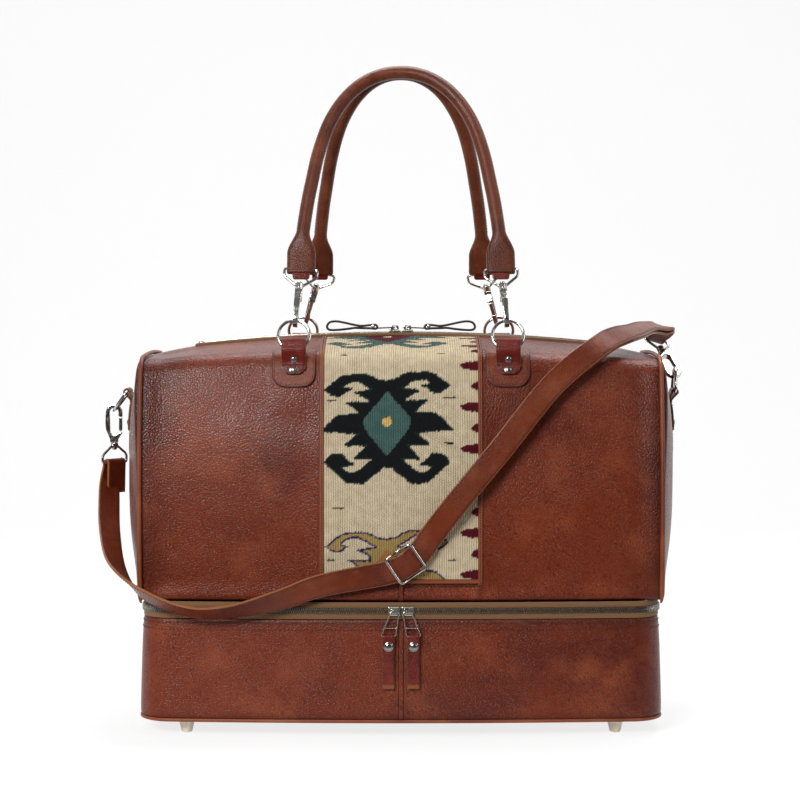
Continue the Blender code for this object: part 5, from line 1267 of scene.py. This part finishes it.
# %% Rings
RING_RADIUS, RING_WIRE = 15 * MM, 1.6 * MM
HOOK_LENGTH, COLLAR_HEIGHT, LOOP_HEIGHT, PIN_GAP = 32 * MM, 5.2 * MM, 17.5 * MM, 0.35 * MM
LOOP_BAR = HOOK_LENGTH + PIN_GAP + COLLAR_HEIGHT / 2 + LOOP_HEIGHT
HANDLE_RADIUS, HANDLE_RISE = 6.5 * MM, 207 * MM
HALF_SPANS = {"front": 96.5 * MM, "back": 84 * MM}
X_AXIS = np.array((1.0, 0, 0))


def front_y(x, z):
    """Return the y of the body's front at x and a height."""
    path = section(x)[0]
    return float(np.interp(z, path[:FRONT_STEPS, 1], path[:FRONT_STEPS, 0]))


def handle_plane(side_y):
    """Return the origin, where the rings swing, and the directions across and up of a plane."""
    y = -front_y(RING_X, fold_height(RING_X) - FOLD_RADIUS) + 0.5 * MM
    rise = 2 * RING_RADIUS + LOOP_BAR + HANDLE_RISE + 0.5 * MM
    lean = math.asin((y - HANDLE_RADIUS - 0.6 * MM) / rise)
    up = np.array((0, -side_y * math.sin(lean), math.cos(lean)))
    return np.array((0, side_y * y, fold_height(RING_X) + 3.5 * MM)), np.cross(up, X_AXIS), up


def in_plane(side_y, spots):
    """Return (a, b, c) places of a handle's plane as points."""
    origin, across, up = handle_plane(side_y)
    spots = np.asarray(spots, float)
    return origin + spots[..., 0:1] * X_AXIS + spots[..., 1:2] * across + spots[..., 2:3] * up


turns = np.linspace(0, 2 * np.pi, 65)[:-1]
for side_y, depth_name in DEPTHS:
    for side, side_name in SIDES:
        circle = np.stack([side * RING_X + RING_RADIUS * np.cos(turns), 0 * turns,
                           RING_RADIUS + RING_RADIUS * np.sin(turns)], 1)
        node = f"ring_{depth_name}_{side_name}"
        shape = sweep(in_plane(side_y, circle), RING_WIRE, 14, handle_plane(side_y)[1], True)
        put(f"{node}_wire", shape, nickel, node, node)
print("rings are bent")

# %% [markdown]
# ## Ribbons of leather
# Straps and tabs are ribbons: a flat section with rounded edges that follows a line and has a
# direction for its width at every station. The edge points carry paint, as dressed edges do, and
# painted shade grows towards the edges.

# %% Ribbon maker


def ribbon(points, widths, width, thick, radius=0.6 * MM, taper=1.0):
    """Sweep a ribbon; return its shape, its values, and its points and directions."""
    flat, tall = width / 2 - radius, thick / 2 - radius
    spots = [(a, thick / 2) for a in np.linspace(-flat, flat, 7)]
    for angle in np.radians(np.linspace(90, -90, 7)[1:-1]):
        rise = math.sin(angle)
        step = math.copysign(tall, rise) * (abs(rise) > 0.01)
        spots.append((flat + radius * math.cos(angle), step + radius * rise))
    spots = np.array(spots + [(-a, -b) for a, b in spots])
    points = np.asarray(points, float)
    ahead = unit(np.gradient(points, axis=0))
    across = square_to(np.broadcast_to(np.asarray(widths, float), points.shape), ahead)
    out = np.cross(ahead, across)
    reach = spots[:, 0] * np.broadcast_to(taper, len(points))[:, None]
    grid = points[:, None] + reach[..., None] * across[:, None] + spots[None, :, 1:2] * out[:, None]
    paint = np.tile(np.abs(spots[:, 0]) > flat + 0.3 * radius, (len(points), 1)).astype(float)
    paint[[0, -1]] = 1
    # Painted shade darkens the ribbon towards its edges, partly also as darker worn edges.
    shade = np.tile(0.5 * smoothstep(np.abs(spots[:, 0]), flat - 2.0 * MM, flat), len(points))
    return capped(grid), {"paint": paint.ravel(), "shade": shade}, (points, across, out)


def round_end(lengths, half_width, corner):
    """Return width factors that round off a ribbon's first end."""
    inset = np.clip(corner - lengths, 0, corner)
    return (half_width - corner + np.sqrt(np.maximum(corner**2 - inset**2, 0))) / half_width


print("ribbon maker is ready")

# %% [markdown]
# ## Patches and ring tabs
# A rounded patch spreads the load of each ring, and a narrower tab folds round the ring and comes
# back down over itself, held by two domed rivets.

# %% Patches and ring tabs
PATCH_WIDTH, PATCH_LENGTH, PATCH_DROP, PATCH_CORNER = 42 * MM, 41 * MM, 32 * MM, 13 * MM
TAB_WIDTH, TAB_DROP, TAB_THICK, TAB_CORNER = 23.5 * MM, 20.5 * MM, 1.8 * MM, 9 * MM
PATCH_TOP = 2.75 * MM
# Rivets sit this far from the tab's free end
RIVET_TRAVELS = (4.6 * MM, 14.6 * MM)
RIVET_PROFILE = ((-0.9, 3.2), (0.1, 3.25), (0.35, 3.1), (0.45, 2.7), (0.95, 2.55), (1.35, 2.1),
                 (1.6, 1.3), (1.7, 0.4))


def rivet(spot, normal, scale=1.0):
    """Return a domed rivet with a narrow flange."""
    return turned(RIVET_PROFILE, spot, normal, 26, scale)


def edge_stitches(x, low, lift, half_width, corner, inset, top, counts, **look):
    """Return stitches that run down, round and up inside the edge of a patch on the body."""
    reach, radius = half_width - inset, corner - inset
    route = [(-reach, t) for t in np.linspace(top, corner, counts[0])]
    route += [(-reach + radius - radius * math.cos(a), corner - radius * math.sin(a))
              for a in np.linspace(0.1, 0.5 * np.pi, counts[1])]
    route += [(-a, t) for a, t in reversed(route)]
    return stitch_row(*on_body([(x + a, low + t, lift) for a, t in route]), **look)


def patch_mesh(x):
    """Return a U-shaped patch on the body's front, its values and its stitches."""
    low, half = travel_at(x, fold_height(x) - PATCH_DROP), PATCH_WIDTH / 2
    near = PATCH_CORNER * (1 - np.cos(np.linspace(0.12, 0.5 * np.pi, 9)))
    far = np.linspace(PATCH_CORNER, PATCH_LENGTH, int((PATCH_LENGTH - PATCH_CORNER) / (1.3 * MM)))
    spots, depth = [], []
    for share in np.sin(np.linspace(-0.5, 0.5, 27) * np.pi):
        for travel in np.concatenate([near[:-1], far]):
            inset = max(0.0, PATCH_CORNER - travel)
            a = share * (half - PATCH_CORNER + math.sqrt(max(PATCH_CORNER**2 - inset**2, 0)))
            beyond = abs(a) - (half - PATCH_CORNER)
            in_corner = beyond > 0 and inset > 0
            gap = PATCH_CORNER - math.hypot(beyond, inset) if in_corner else min(half - abs(a), travel)
            depth.append(min(max(gap, 0.0), PATCH_LENGTH - travel + 1 * MM))
            spots.append((x + a, low + travel, PATCH_TOP - rounding(depth[-1], 0.9 * MM)))
    grid, normals = (part.reshape(27, -1, 3) for part in on_body(spots))
    shape, used = closed_sheet(grid, normals, 2.0 * MM)
    paint = 1 - smoothstep(depth, 0.15 * MM, 0.7 * MM)
    # Painted shade darkens the patch towards its edges.
    values = {"paint": np.concatenate([paint, 1 + 0 * paint])[used],
              "shade": twice(0.6 * (1 - smoothstep(depth, 0.6 * MM, 4 * MM)), used)}
    return shape, values, edge_stitches(
        x, low, PATCH_TOP - 0.02 * MM, half, PATCH_CORNER, 2.4 * MM, PATCH_LENGTH - 5 * MM, (14, 10),
        pitch=2.7, width=0.62, slant=12)


def ring_tab(x):
    """Return the tab that folds round a front ring, its values, stitches and rivets."""
    low = travel_at(x, fold_height(x) - TAB_DROP)
    under, over = PATCH_TOP + 0.5 * TAB_THICK, PATCH_TOP + 1.5 * TAB_THICK + 0.05 * MM
    start = on_body([(x, low + t * MM, under) for t in (3.0, 5, 8, 12)])[0]
    bend = 3.5 * MM + TAB_THICK / 2
    folded = [(2.2 * MM, -0.6 * MM), (3.9 * MM, 2.2 * MM)]
    folded += [(bend * math.cos(a), 7.2 * MM + bend * math.sin(a)) for a in np.linspace(0.15, 2.99, 7)]
    folded += [(-4.3 * MM, 3.0 * MM), (-4.0 * MM, -1.6 * MM)]
    middle = [in_plane(-1, (x, b, c)) for b, c in folded]
    finish, tail = (on_body([(x, low + t * MM, over) for t in ts])[0]
                    for ts in ((11, 7.5, 4), (3.2, 2.4, 1.6, 0.9, 0.4, 0.1)))
    route = even_path(smooth_curve(np.vstack([start, middle, finish]), 8), 0.9 * MM)
    route = np.vstack([route, tail])
    lengths, half = run_of(route), TAB_WIDTH / 2
    taper = round_end(lengths[-1] - lengths + 0.25 * MM, half, TAB_CORNER)
    taper = np.minimum(taper, round_end(lengths + 0.9 * MM, half, TAB_CORNER)) - 0.04 * (lengths < 9 * MM)
    shape, values, (_, _, out) = ribbon(route, X_AXIS, TAB_WIDTH, TAB_THICK, 0.5 * MM, taper)
    row = edge_stitches(x, low, over + TAB_THICK / 2, half, TAB_CORNER, 2.0 * MM, 15 * MM, (8, 9),
                        pitch=2.6, width=0.6, slant=10)
    rivets = []
    for travel in RIVET_TRAVELS:
        station = int(np.searchsorted(lengths, lengths[-1] - travel))
        normal = out[station] if out[station][1] < 0 else -out[station]
        rivets.append(rivet(route[station] + TAB_THICK / 2 * normal, normal, 1.12))
    return shape, values, row, merge(rivets)


for side_y, depth_name in DEPTHS:
    for side, side_name in SIDES:
        node, mirror = f"ring_tab_{depth_name}_{side_name}", side_y > 0
        shape, values, patch_row = patch_mesh(side * RING_X)
        put(f"{node}_patch", shape, patch_leather, mirror=mirror, **values)
        shape, values, tab_row, rivets = ring_tab(side * RING_X)
        put(f"{node}_fold", shape, tab_leather, replaces=node, mirror=mirror, **values)
        put(f"{node}_rivets", rivets, dark_rivet, mirror=mirror)
        put_stitches(node, [patch_row, tab_row], mirror=mirror)
print("patches and tabs are on")

# %% [markdown]
# ## Handles
# A rolled handle is a tube of leather that flattens at its ends, where it is folded round the
# hook's bar and stitched down. A seam runs along its inner side.

# %% Handles
SPADE_HALF, SPADE_HALF_THICK = 13.8 * MM, 3.7 * MM
# Distances along the handle where its flat end stops and where its round part starts
SPADE_END, ROLL_START = 20 * MM, 44 * MM
TONGUE_WIDTH, TONGUE_THICK, TONGUE_CORNER = 16.8 * MM, 3.6 * MM, 3.0 * MM
TONGUE_DROPS = np.concatenate([[-10.2, -10.0, -9.6, -9.0, -8.2, -7.0], np.linspace(-5.5, 2, 6)]) * MM
# Half of the handle's middle line, as shares of its half span and of its rise
HANDLE_RATIOS = ((1.0, -0.022), (1.0, 0.02), (0.992, 0.15), (0.95, 0.31), (0.905, 0.43),
                 (0.835, 0.59), (0.725, 0.745), (0.565, 0.868), (0.365, 0.953), (0.13, 0.997))


def rolled_handle(side_y, depth_name):
    """Make a handle with its stitches and the tongues that show under its ends."""
    half_span, bar = HALF_SPANS[depth_name], 2 * RING_RADIUS + LOOP_BAR
    half = [(half_span * a, 0, bar + HANDLE_RISE * b) for a, b in HANDLE_RATIOS]
    curve = smooth_curve([(-a, b, c) for a, b, c in half] + half[::-1], 12)
    total = run_of(curve)[-1]
    route = even_path(curve, 2.2 * MM)
    near, lengths = np.array((0.0, 0.25, 0.7, 1.3)) * MM, np.linspace(0, total, len(route))
    dense = np.concatenate([near, lengths[1:-1], total - near[::-1]])
    route = read_at(dense, lengths, route)
    travel = np.minimum(dense, total - dense)
    share, end = smoothstep(travel, SPADE_END, ROLL_START), rounding(travel, 1.4 * MM)
    half_width = SPADE_HALF * (1 - share) + HANDLE_RADIUS * share - end
    half_depth = SPADE_HALF_THICK * (1 - share) + HANDLE_RADIUS * share - 0.8 * end
    ahead = unit(np.gradient(route, axis=0))
    across = unit(np.cross(Y_AXIS, ahead))
    angles = 2 * np.pi * (np.arange(36) + 0.5) / 36
    power = 1 - 0.5 * (1 - smoothstep(travel, 22 * MM, 44 * MM))[:, None]
    roll = 1 + 0.012 * softness(route, 16 * MM, 50)[:, None]
    a, b = (np.sign(wave) * np.abs(wave) ** power * size[:, None]
            for wave, size in ((np.cos(angles), half_width), (np.sin(angles), half_depth)))
    grid = route[:, None] + (a * roll)[..., None] * across[:, None] + (b * roll)[..., None] * Y_AXIS
    spade = 1 - smoothstep(travel, 26 * MM, 40 * MM)[:, None]
    paint = spade * smoothstep(np.clip(np.abs(a) / half_width[:, None], 0, 1), 0.955, 0.985)
    # Painted shade darkens the handle's flat ends where they meet the hook's bar.
    shade = 0.55 * spade * (1 - smoothstep(travel, 0.5 * MM, 5 * MM))[:, None] + 0 * a
    body = f"handle_{depth_name}_set"
    put(f"handle_{depth_name}_leather", capped(in_plane(side_y, grid)), handle_leather, body,
        f"handle_{depth_name}", paint=paint, shade=shade)
    rows = []
    for end_side, _ in SIDES:
        keep = (travel > 4 * MM) & (travel < 30 * MM) & ((route[:, 0] < 0) == (end_side < 0))
        for face in (-1, 1):
            for side in (-1, 1):
                line = route[keep] + side * (half_width[keep] - 2.6 * MM)[:, None] * across[keep]
                line = line + face * (half_depth[keep] + 0.02 * MM)[:, None] * Y_AXIS
                rows.append(stitch_row(in_plane(side_y, line), face * handle_plane(side_y)[1], 3.0, 0.62, 6))
    rolled = travel > 42 * MM
    under = route[rolled] - (HANDLE_RADIUS - 0.05 * MM) * np.cross(Y_AXIS, ahead[rolled])
    under, middle = in_plane(side_y, under), in_plane(side_y, route[rolled])
    rows.append(stitch_row(under, under - middle, 3.2, 0.6, 8))
    put_stitches(f"handle_{depth_name}", rows, body)
    half = TONGUE_WIDTH / 2
    taper = round_end(TONGUE_DROPS - TONGUE_DROPS[0] + 0.3 * MM, half, TONGUE_CORNER)
    for end_side, name in SIDES:
        tongue = in_plane(side_y, [(end_side * half_span, 0.0, bar + drop) for drop in TONGUE_DROPS])
        shape, values, _ = ribbon(tongue, X_AXIS, TONGUE_WIDTH, TONGUE_THICK, 0.8 * MM, taper)
        put(f"handle_{depth_name}_tongue_{name}", shape, tab_leather, body, **values)


for depth in DEPTHS:
    rolled_handle(*depth)
print("handles are rolled")

# %% [markdown]
# ## Zip pulls
# The base zip has wire pulls with long leather tabs. Each pull of the top zip is a metal link
# with a loop of flat lace.

# %% Zip pulls
ZIP_RADIUS = arc_radius(BASE_HALF_LENGTH, FRONT_BULGE)
RIDGE_RADIUS = arc_radius(BODY_HALF_LENGTH, RIDGE_DROP)
SLIDER_X, HOLE_HEIGHT = 6.35 * MM, 3.85 * MM
# Base sliders sit this far in from the front, top sliders this far above the ridge
BASE_SLIDER_IN, TOP_SLIDER_LIFT = 2.6 * MM, 3.45 * MM
PULL_SPLAY, PULL_DROP, PULL_WIDTH, PULL_THICK = 5.6 * MM, 24 * MM, 11.2 * MM, 1.45 * MM
PULL_LAYER, PULL_BEND = 0.77, 1.9
BUTTON_PROFILE = ((-1.0, 4.6), (0.25, 4.6), (0.5, 4.3), (0.6, 3.9), (1.2, 3.6), (1.65, 2.9),
                  (1.95, 1.8), (2.05, 0.6))
for side, name in SIDES:
    x, body = side * SLIDER_X, f"base_zip_tab_{name}"
    along = np.array((math.sqrt(ZIP_RADIUS**2 - x**2), x, 0)) / ZIP_RADIUS
    out = np.array((along[1], -along[0], 0))
    hole = np.array((x, -front_depth(x) + BASE_SLIDER_IN, zip_middle)) + HOLE_HEIGHT * out
    eye = hole + side * PULL_SPLAY * along - PULL_DROP * Z_AXIS
    falls = (50, 42, 30, 18, 9)
    front = [(1.7, 2), (1.1, 5)] + [(PULL_LAYER, fall) for fall in falls[::-1]]
    back = [(-PULL_LAYER, 49.6)] + [(-PULL_LAYER, fall) for fall in falls[1:]] + [(-1.1, 5), (-1.7, 2)]
    fold = [(-PULL_BEND * math.cos(a), -PULL_BEND * math.sin(a)) for a in np.linspace(0.0, np.pi, 9)]
    route = np.array([eye + b * MM * out - c * MM * Z_AXIS for b, c in back + fold + front])
    route = even_path(smooth_curve(route, 6), 1.1 * MM)
    shape, values, _ = ribbon(route, along, PULL_WIDTH, PULL_THICK, 0.4 * MM)
    fall = (eye - shape[0])[:, 2]
    values["paint"] = np.maximum(values["paint"] * 0.8, smoothstep(fall, 45.5 * MM, 46.5 * MM))
    put(f"{body}_leather", shape, tab_leather, body, body, **values)
    spot = eye - 9.5 * MM * Z_AXIS + (PULL_LAYER + 0.7) * MM * out
    put(f"{body}_rivet", turned(BUTTON_PROFILE, spot, out, 32), dark_rivet, body)
    line = np.array([eye + 1.52 * MM * out - c * MM * Z_AXIS for c in np.linspace(16, 43, 20)])
    put_stitches(body, [stitch_row(line + s * 3.9 * MM * along, out, 3.0, 0.5, 0) for s in (-1, 1)], body)

# The link and the lace's loop, along the zip and up from the slider's hole, in millimetres
LINK_ROUTE = [(0.0, -1.9), (3.0, -3.1), (9.0, -2.2), (16.5, -1.5), (18.4, 0.0)]
LINK_ROUTE += [(a, -b) for a, b in reversed(LINK_ROUTE[:-1])]
LACE_ROUTE = (
    (17.2, 0.2), (19.0, 2.4), (24.5, 2.3), (33.0, 1.5), (41.0, 2.6), (50.0, 4.6), (58.5, 6.0),
    (65.0, 5.0), (67.8, 0.8), (65.5, -2.4), (58.0, -2.6), (48.0, -1.7), (40.0, -0.6),
    (33.0, -0.8), (24.5, -1.0), (19.0, -1.4),
)
corners = [(math.cos(a), math.sin(a)) for a in 2 * np.pi * (np.arange(16) + 0.5) / 16]
LACE_SECTION = [[math.copysign(abs(v) ** 0.6, v) for v in corner] for corner in corners]
for side, name in SIDES:
    x, body = side * SLIDER_X, f"top_zip_pull_{name}"
    up = np.array((x, 0, math.sqrt(RIDGE_RADIUS**2 - x**2))) / RIDGE_RADIUS
    hole = np.array((x, 0, ridge_height(x) + TOP_SLIDER_LIFT)) + HOLE_HEIGHT * up
    link = hole + np.array([(side * a * MM, b * MM, -0.05 * a * MM) for a, b in LINK_ROUTE])
    link = smooth_curve(np.vstack([link, link[:1]]), 8)[:-1]
    put(f"{body}_link", sweep(link, 0.75 * MM, 8, (0.1, 0.2, 1.0), True), zip_metal, body)
    lace = hole + np.array([(side * a * MM, 0, b * MM) for a, b in LACE_ROUTE])
    lace = smooth_curve(np.vstack([lace, lace[:1]]), 6)[:-1]
    inward = unit(np.cross(Y_AXIS, np.roll(lace, -1, 0) - np.roll(lace, 1, 0)))
    shape = sweep(lace, (2.3 * MM, 1.15 * MM), 16, inward, True, LACE_SECTION)
    put(f"{body}_lace", shape, thong_leather, body, body)
    spot = hole + (side * 21.5 * MM, -2.2 * MM, 1.0 * MM)
    put(f"{body}_eyelet", rivet(spot, -Y_AXIS, 0.55), zip_metal, body)
print("zip pulls hang")

# %% [markdown]
# ## Shoulder strap
# The strap is one long piece of leather. It folds over the left hook's bar, swings across the
# front, runs through the adjuster, goes on to the right hook, folds over its bar, comes back
# behind itself and ends round the adjuster's centre bar. Its middle line is chosen from the
# photo and from where gravity and the metal parts lead it.

# %% Strap fittings
STRAP_WIDTH, STRAP_THICK, STRAP_GAP = 23 * MM, 2.6 * MM, 0.5 * MM
LOOP_WIRE = 1.45 * MM
WRAP = LOOP_WIRE + PIN_GAP + STRAP_THICK / 2
ANCHOR_TOP, ANCHOR_LENGTH, ANCHOR_OUTER, ANCHOR_WIDTH = 196 * MM, 64 * MM, 40 * MM, 22 * MM
ANCHOR_STITCH_Y = (-8.8 * MM, 8.8 * MM)
STRAP_RING_HALF, STRAP_RING_TALL, STRAP_RING_CORNER = 14 * MM, 24 * MM, 2.6 * MM


def anchor_x(z, lift=0.0):
    """Return how far the end panel's middle line stands out at a height, with a lift."""
    return BODY_HALF_LENGTH + 0.6 * MM + float(end_stand(np.array(0.0), np.array(z))) + lift


def anchor_eye(side):
    """Return the middle of the fold that holds a strap ring."""
    z = BODY_BOTTOM + ANCHOR_TOP
    return np.array((side * anchor_x(z - 0.7 * ANCHOR_LENGTH, RING_WIRE + PIN_GAP + TAB_THICK), 0, z))


def strap_chain(side):
    """Return a strap hook's seat and direction, and the ring's direction."""
    eye = anchor_eye(side)
    if side < 0:
        out = unit((-0.59, 0, -0.81))
        return eye + STRAP_RING_TALL * out, -Z_AXIS, out
    out, angle = unit((0.05, 0, 1.0)), math.radians(40)
    seat = eye + STRAP_RING_HALF * math.sin(angle) * Y_AXIS + STRAP_RING_TALL * math.cos(angle) * out
    return seat, unit((-0.29, 0.70, 0.65)), out


def strap_bar(side):
    """Return the middle and direction of the bar that the strap folds over."""
    seat, along, _ = strap_chain(side)
    across = np.array((-0.65, -0.76, 0)) if side < 0 else np.array((-0.81, -0.52, 0.27))
    return seat + LOOP_BAR * along, unit(across - across @ along * along)


for side, name in SIDES:
    eye, out = anchor_eye(side), strap_chain(side)[2]
    bend, outward, node = RING_WIRE + PIN_GAP + TAB_THICK / 2, side * X_AXIS, f"strap_tab_{name}"
    low, mid, high = eye[2] - ANCHOR_LENGTH, eye[2] - ANCHOR_OUTER, eye[2]
    inner = [(anchor_x(z, 0.9 * MM), z) for z in np.linspace(low, high - 8 * MM, 8)]
    turn = [(abs(eye[0]) - bend * math.cos(a), high + bend * math.sin(a))
            for a in np.linspace(-0.3, np.pi + 0.5, 11)]
    outer = [(anchor_x(z, 2.75 * MM), z) for z in np.linspace(high - 9 * MM, mid + 1 * MM, 5)]
    curve = smooth_curve([(side * a, 0, z) for a, z in inner + turn + outer], 8)
    route = even_path(curve, 0.9 * MM)
    lengths = np.linspace(0, run_of(curve)[-1], len(route))
    taper = round_end(np.minimum(lengths, lengths[::-1]) + 0.3 * MM, ANCHOR_WIDTH / 2, 7 * MM)
    shape, values, _ = ribbon(route, Y_AXIS, ANCHOR_WIDTH, TAB_THICK, 0.5 * MM, taper)
    put(f"{node}_fold", shape, tab_leather, replaces=node, **values)
    spot = np.array((side * anchor_x(mid, 2 * TAB_THICK + 0.05 * MM), 0, mid + 9 * MM))
    put(f"{node}_rivet", rivet(spot, outward), dark_rivet)
    rows = []
    for lift, levels in ((2 * TAB_THICK, np.linspace(mid + 5 * MM, high - 9 * MM, 16)),
                         (TAB_THICK, np.linspace(low + 6 * MM, mid - 1.5 * MM, 12))):
        for y in ANCHOR_STITCH_Y:
            line = [(side * anchor_x(z, lift), y, z) for z in levels]
            rows.append(stitch_row(line, outward, 2.8, 0.6, 0))
    put_stitches(node, rows)
    flat = STRAP_RING_HALF - STRAP_RING_CORNER
    route = [eye + y * Y_AXIS for y in np.linspace(-flat, flat, 6)]
    route += [eye + STRAP_RING_HALF * math.sin(a) * Y_AXIS + STRAP_RING_TALL * math.cos(a) * out
              for a in np.radians(np.arange(84, -90, -12))]
    route = smooth_curve(route + route[:1], 4)[:-1]
    shape = sweep(route, RING_WIRE, 12, np.cross(out, Y_AXIS), True)
    put(f"strap_ring_{name}_wire", shape, nickel, replaces=f"strap_ring_{name}")
print("strap fittings are on")

# %% Shoulder strap
ADJUSTER_TURN, ADJUSTER_X, ADJUSTER_HEIGHT = math.radians(33.5), 4.5 * MM, 169 * MM
ADJUSTER_SINK, ADJUSTER_WIRE = 4.9 * MM, 1.3 * MM
# The strap bows a little where it runs through the adjuster
ADJUSTER_BOW = 60 * MM
# Middle line in millimetres with the direction of the strap's width
LEFT_ROUTE = (
    ((-292.5, -3, 238), (-0.68, -0.73, 0.05)), ((-291.5, -18, 220), (-0.78, -0.6, 0.15)),
    ((-287.0, -50, 193), (-0.82, -0.45, 0.3)), ((-276.0, -93, 166), (-0.78, -0.35, 0.5)),
    ((-257.5, -122.5, 148), (-0.55, -0.5, 0.66)), ((-233.3, -131, 134), (-0.2, -0.75, 0.6)),
    ((-207.2, -135, 125.5), (0.0, -0.85, 0.5)), ((-183.8, -135.5, 122.5), (0.0, -0.82, 0.55)),
    ((-152.5, -134.5, 125.7), (-0.1, -0.75, 0.65)), ((-113.5, -132, 135.4), (-0.2, -0.45, 0.87)),
    ((-76.0, -129.5, 148.2), (-0.28, -0.25, 0.93)),
)
RIGHT_ROUTE = (
    ((52, -133.5, 226.5), (-0.77, 0.0, 0.64)), ((95, -129.5, 278.7), (-0.77, 0.0, 0.64)),
    ((144.4, -118, 338.6), (-0.77, 0.05, 0.64)), ((190.8, -98, 375), (-0.73, 0.35, 0.6)),
    ((211.5, -70, 384), (-0.76, 0.33, 0.56)), ((231, -30, 387.5), (-0.82, 0.42, 0.39)),
    ((247.5, 10, 390.5), (-0.9, 0.3, 0.28)),
)
# Stations along the adjuster and in front of it: through it, behind it, and back on its bar
WEAVE = ((-22, -3.3), (-13, -3.1), (-9, -1.6), (-4.5, 0.5), (0, 1.0), (4.5, 0.5), (9, -1.6),
         (13, -3.1), (22, -3.1))
BEHIND = ((22, -6.2), (17, -6.2), (13, -6.35), (9, -7.0), (5, -7.6))
LAST = ((3, -2.45), (5.5, -3.1))
level_x = np.array((math.cos(ADJUSTER_TURN), 0, math.sin(ADJUSTER_TURN)))
level_z = -Y_AXIS
level_y = np.cross(level_z, level_x)
adjuster_middle = np.array((ADJUSTER_X, front_y(0.0, ADJUSTER_HEIGHT) - 10.2 * MM, ADJUSTER_HEIGHT))


def by_adjuster(*places):
    """Return strap stations near the adjuster, a along it and n in front of it."""
    stations = []
    for a, n in places:
        bow = (a * MM) ** 2 / (2 * ADJUSTER_BOW) - 0.8 * MM
        spot = adjuster_middle + a * MM * level_x + bow * level_y + n * MM * level_z
        stations.append((spot, unit(-a * MM / ADJUSTER_BOW * level_x + level_y)))
    return stations


def in_metres(route):
    """Return stations that are written in millimetres."""
    return [(np.array(p) * MM, np.array(w)) for p, w in route]


def finer(stations, steps):
    """Return stations on a smooth line through the given ones."""
    return list(zip(*(smooth_curve(np.array(part), steps) for part in zip(*stations))))


def round_bar(centre, across, start, towards):
    """Return stations half way round a bar, on the side that towards points to."""
    side = unit(np.cross(across, start))
    side = -side if side @ towards < 0 else side
    return [(centre + WRAP * (math.cos(a) * start + math.sin(a) * side), across)
            for a in np.pi * np.arange(9) / 8]


left_bar, left_across = strap_bar(-1)
inward = unit(np.cross(left_across, -Z_AXIS))
inward = inward if inward[0] > 0 else -inward
flap = [(left_bar + inward * (WRAP - 1.2 * MM * s) - s * 30 * MM * Z_AXIS, left_across)
        for s in (1.0, 0.6, 0.25)]
turn = round_bar(left_bar, left_across, inward, Z_AXIS)
through = by_adjuster(*WEAVE)
first = finer([turn[-1]] + in_metres(LEFT_ROUTE) + [through[0]], 3)
right_bar, right_across = strap_bar(1)
away = strap_chain(1)[1]
rise = unit(np.cross(right_across, away))
rise = rise if rise[2] > 0 else -rise
shared = by_adjuster((30, -4.65)) + in_metres(RIGHT_ROUTE)
shared += [(right_bar + 14 * MM * rise - 2 * MM * away, right_across),
           (right_bar + 5 * MM * rise, right_across)]
fine_points, fine_widths = (np.array(part) for part in zip(*finer(shared, 3)))
ahead = unit(np.gradient(fine_points, axis=0))
across = square_to(fine_widths, ahead)
close = (STRAP_THICK + STRAP_GAP) / 2
share = np.clip(1 - np.arange(len(fine_points))[::-1] / 7, 0, 1)
spread = (close + (WRAP - close) * share)[:, None] * np.cross(ahead, across)
front_layer, back_layer = (list(zip(fine_points + s * spread, across)) for s in (1, -1))
bar_radius = ADJUSTER_WIRE + PIN_GAP + STRAP_THICK / 2
centre_bar = adjuster_middle - ADJUSTER_SINK * level_z
centre_turn = [(centre_bar + bar_radius * (math.cos(a) * level_x + math.sin(a) * level_z), level_y)
               for a in np.radians(-90 - 30 * np.arange(7))]
stations = flap + turn + first[1:-1] + through + front_layer
stations += round_bar(right_bar, right_across, away, -rise) + back_layer[::-1]
stations = finer(stations + by_adjuster(*BEHIND) + centre_turn + by_adjuster(*LAST), 4)
strap_points, strap_widths = (np.array(part) for part in zip(*stations))
shape, values, (points, across, out) = ribbon(
    strap_points, strap_widths, STRAP_WIDTH, STRAP_THICK, 0.8 * MM)
put("shoulder_strap_leather", shape, strap_leather, replaces="shoulder_strap", **values)
rows = []
for side in (-1, 1):
    for face in (-1, 1):
        line = points + side * (STRAP_WIDTH / 2 - 1.9 * MM) * across + face * (STRAP_THICK / 2) * out
        rows.append(stitch_row(line, face * out, 3.0, 0.6, 0, 0.62))
print("strap stitches:", put_stitches("strap", rows))
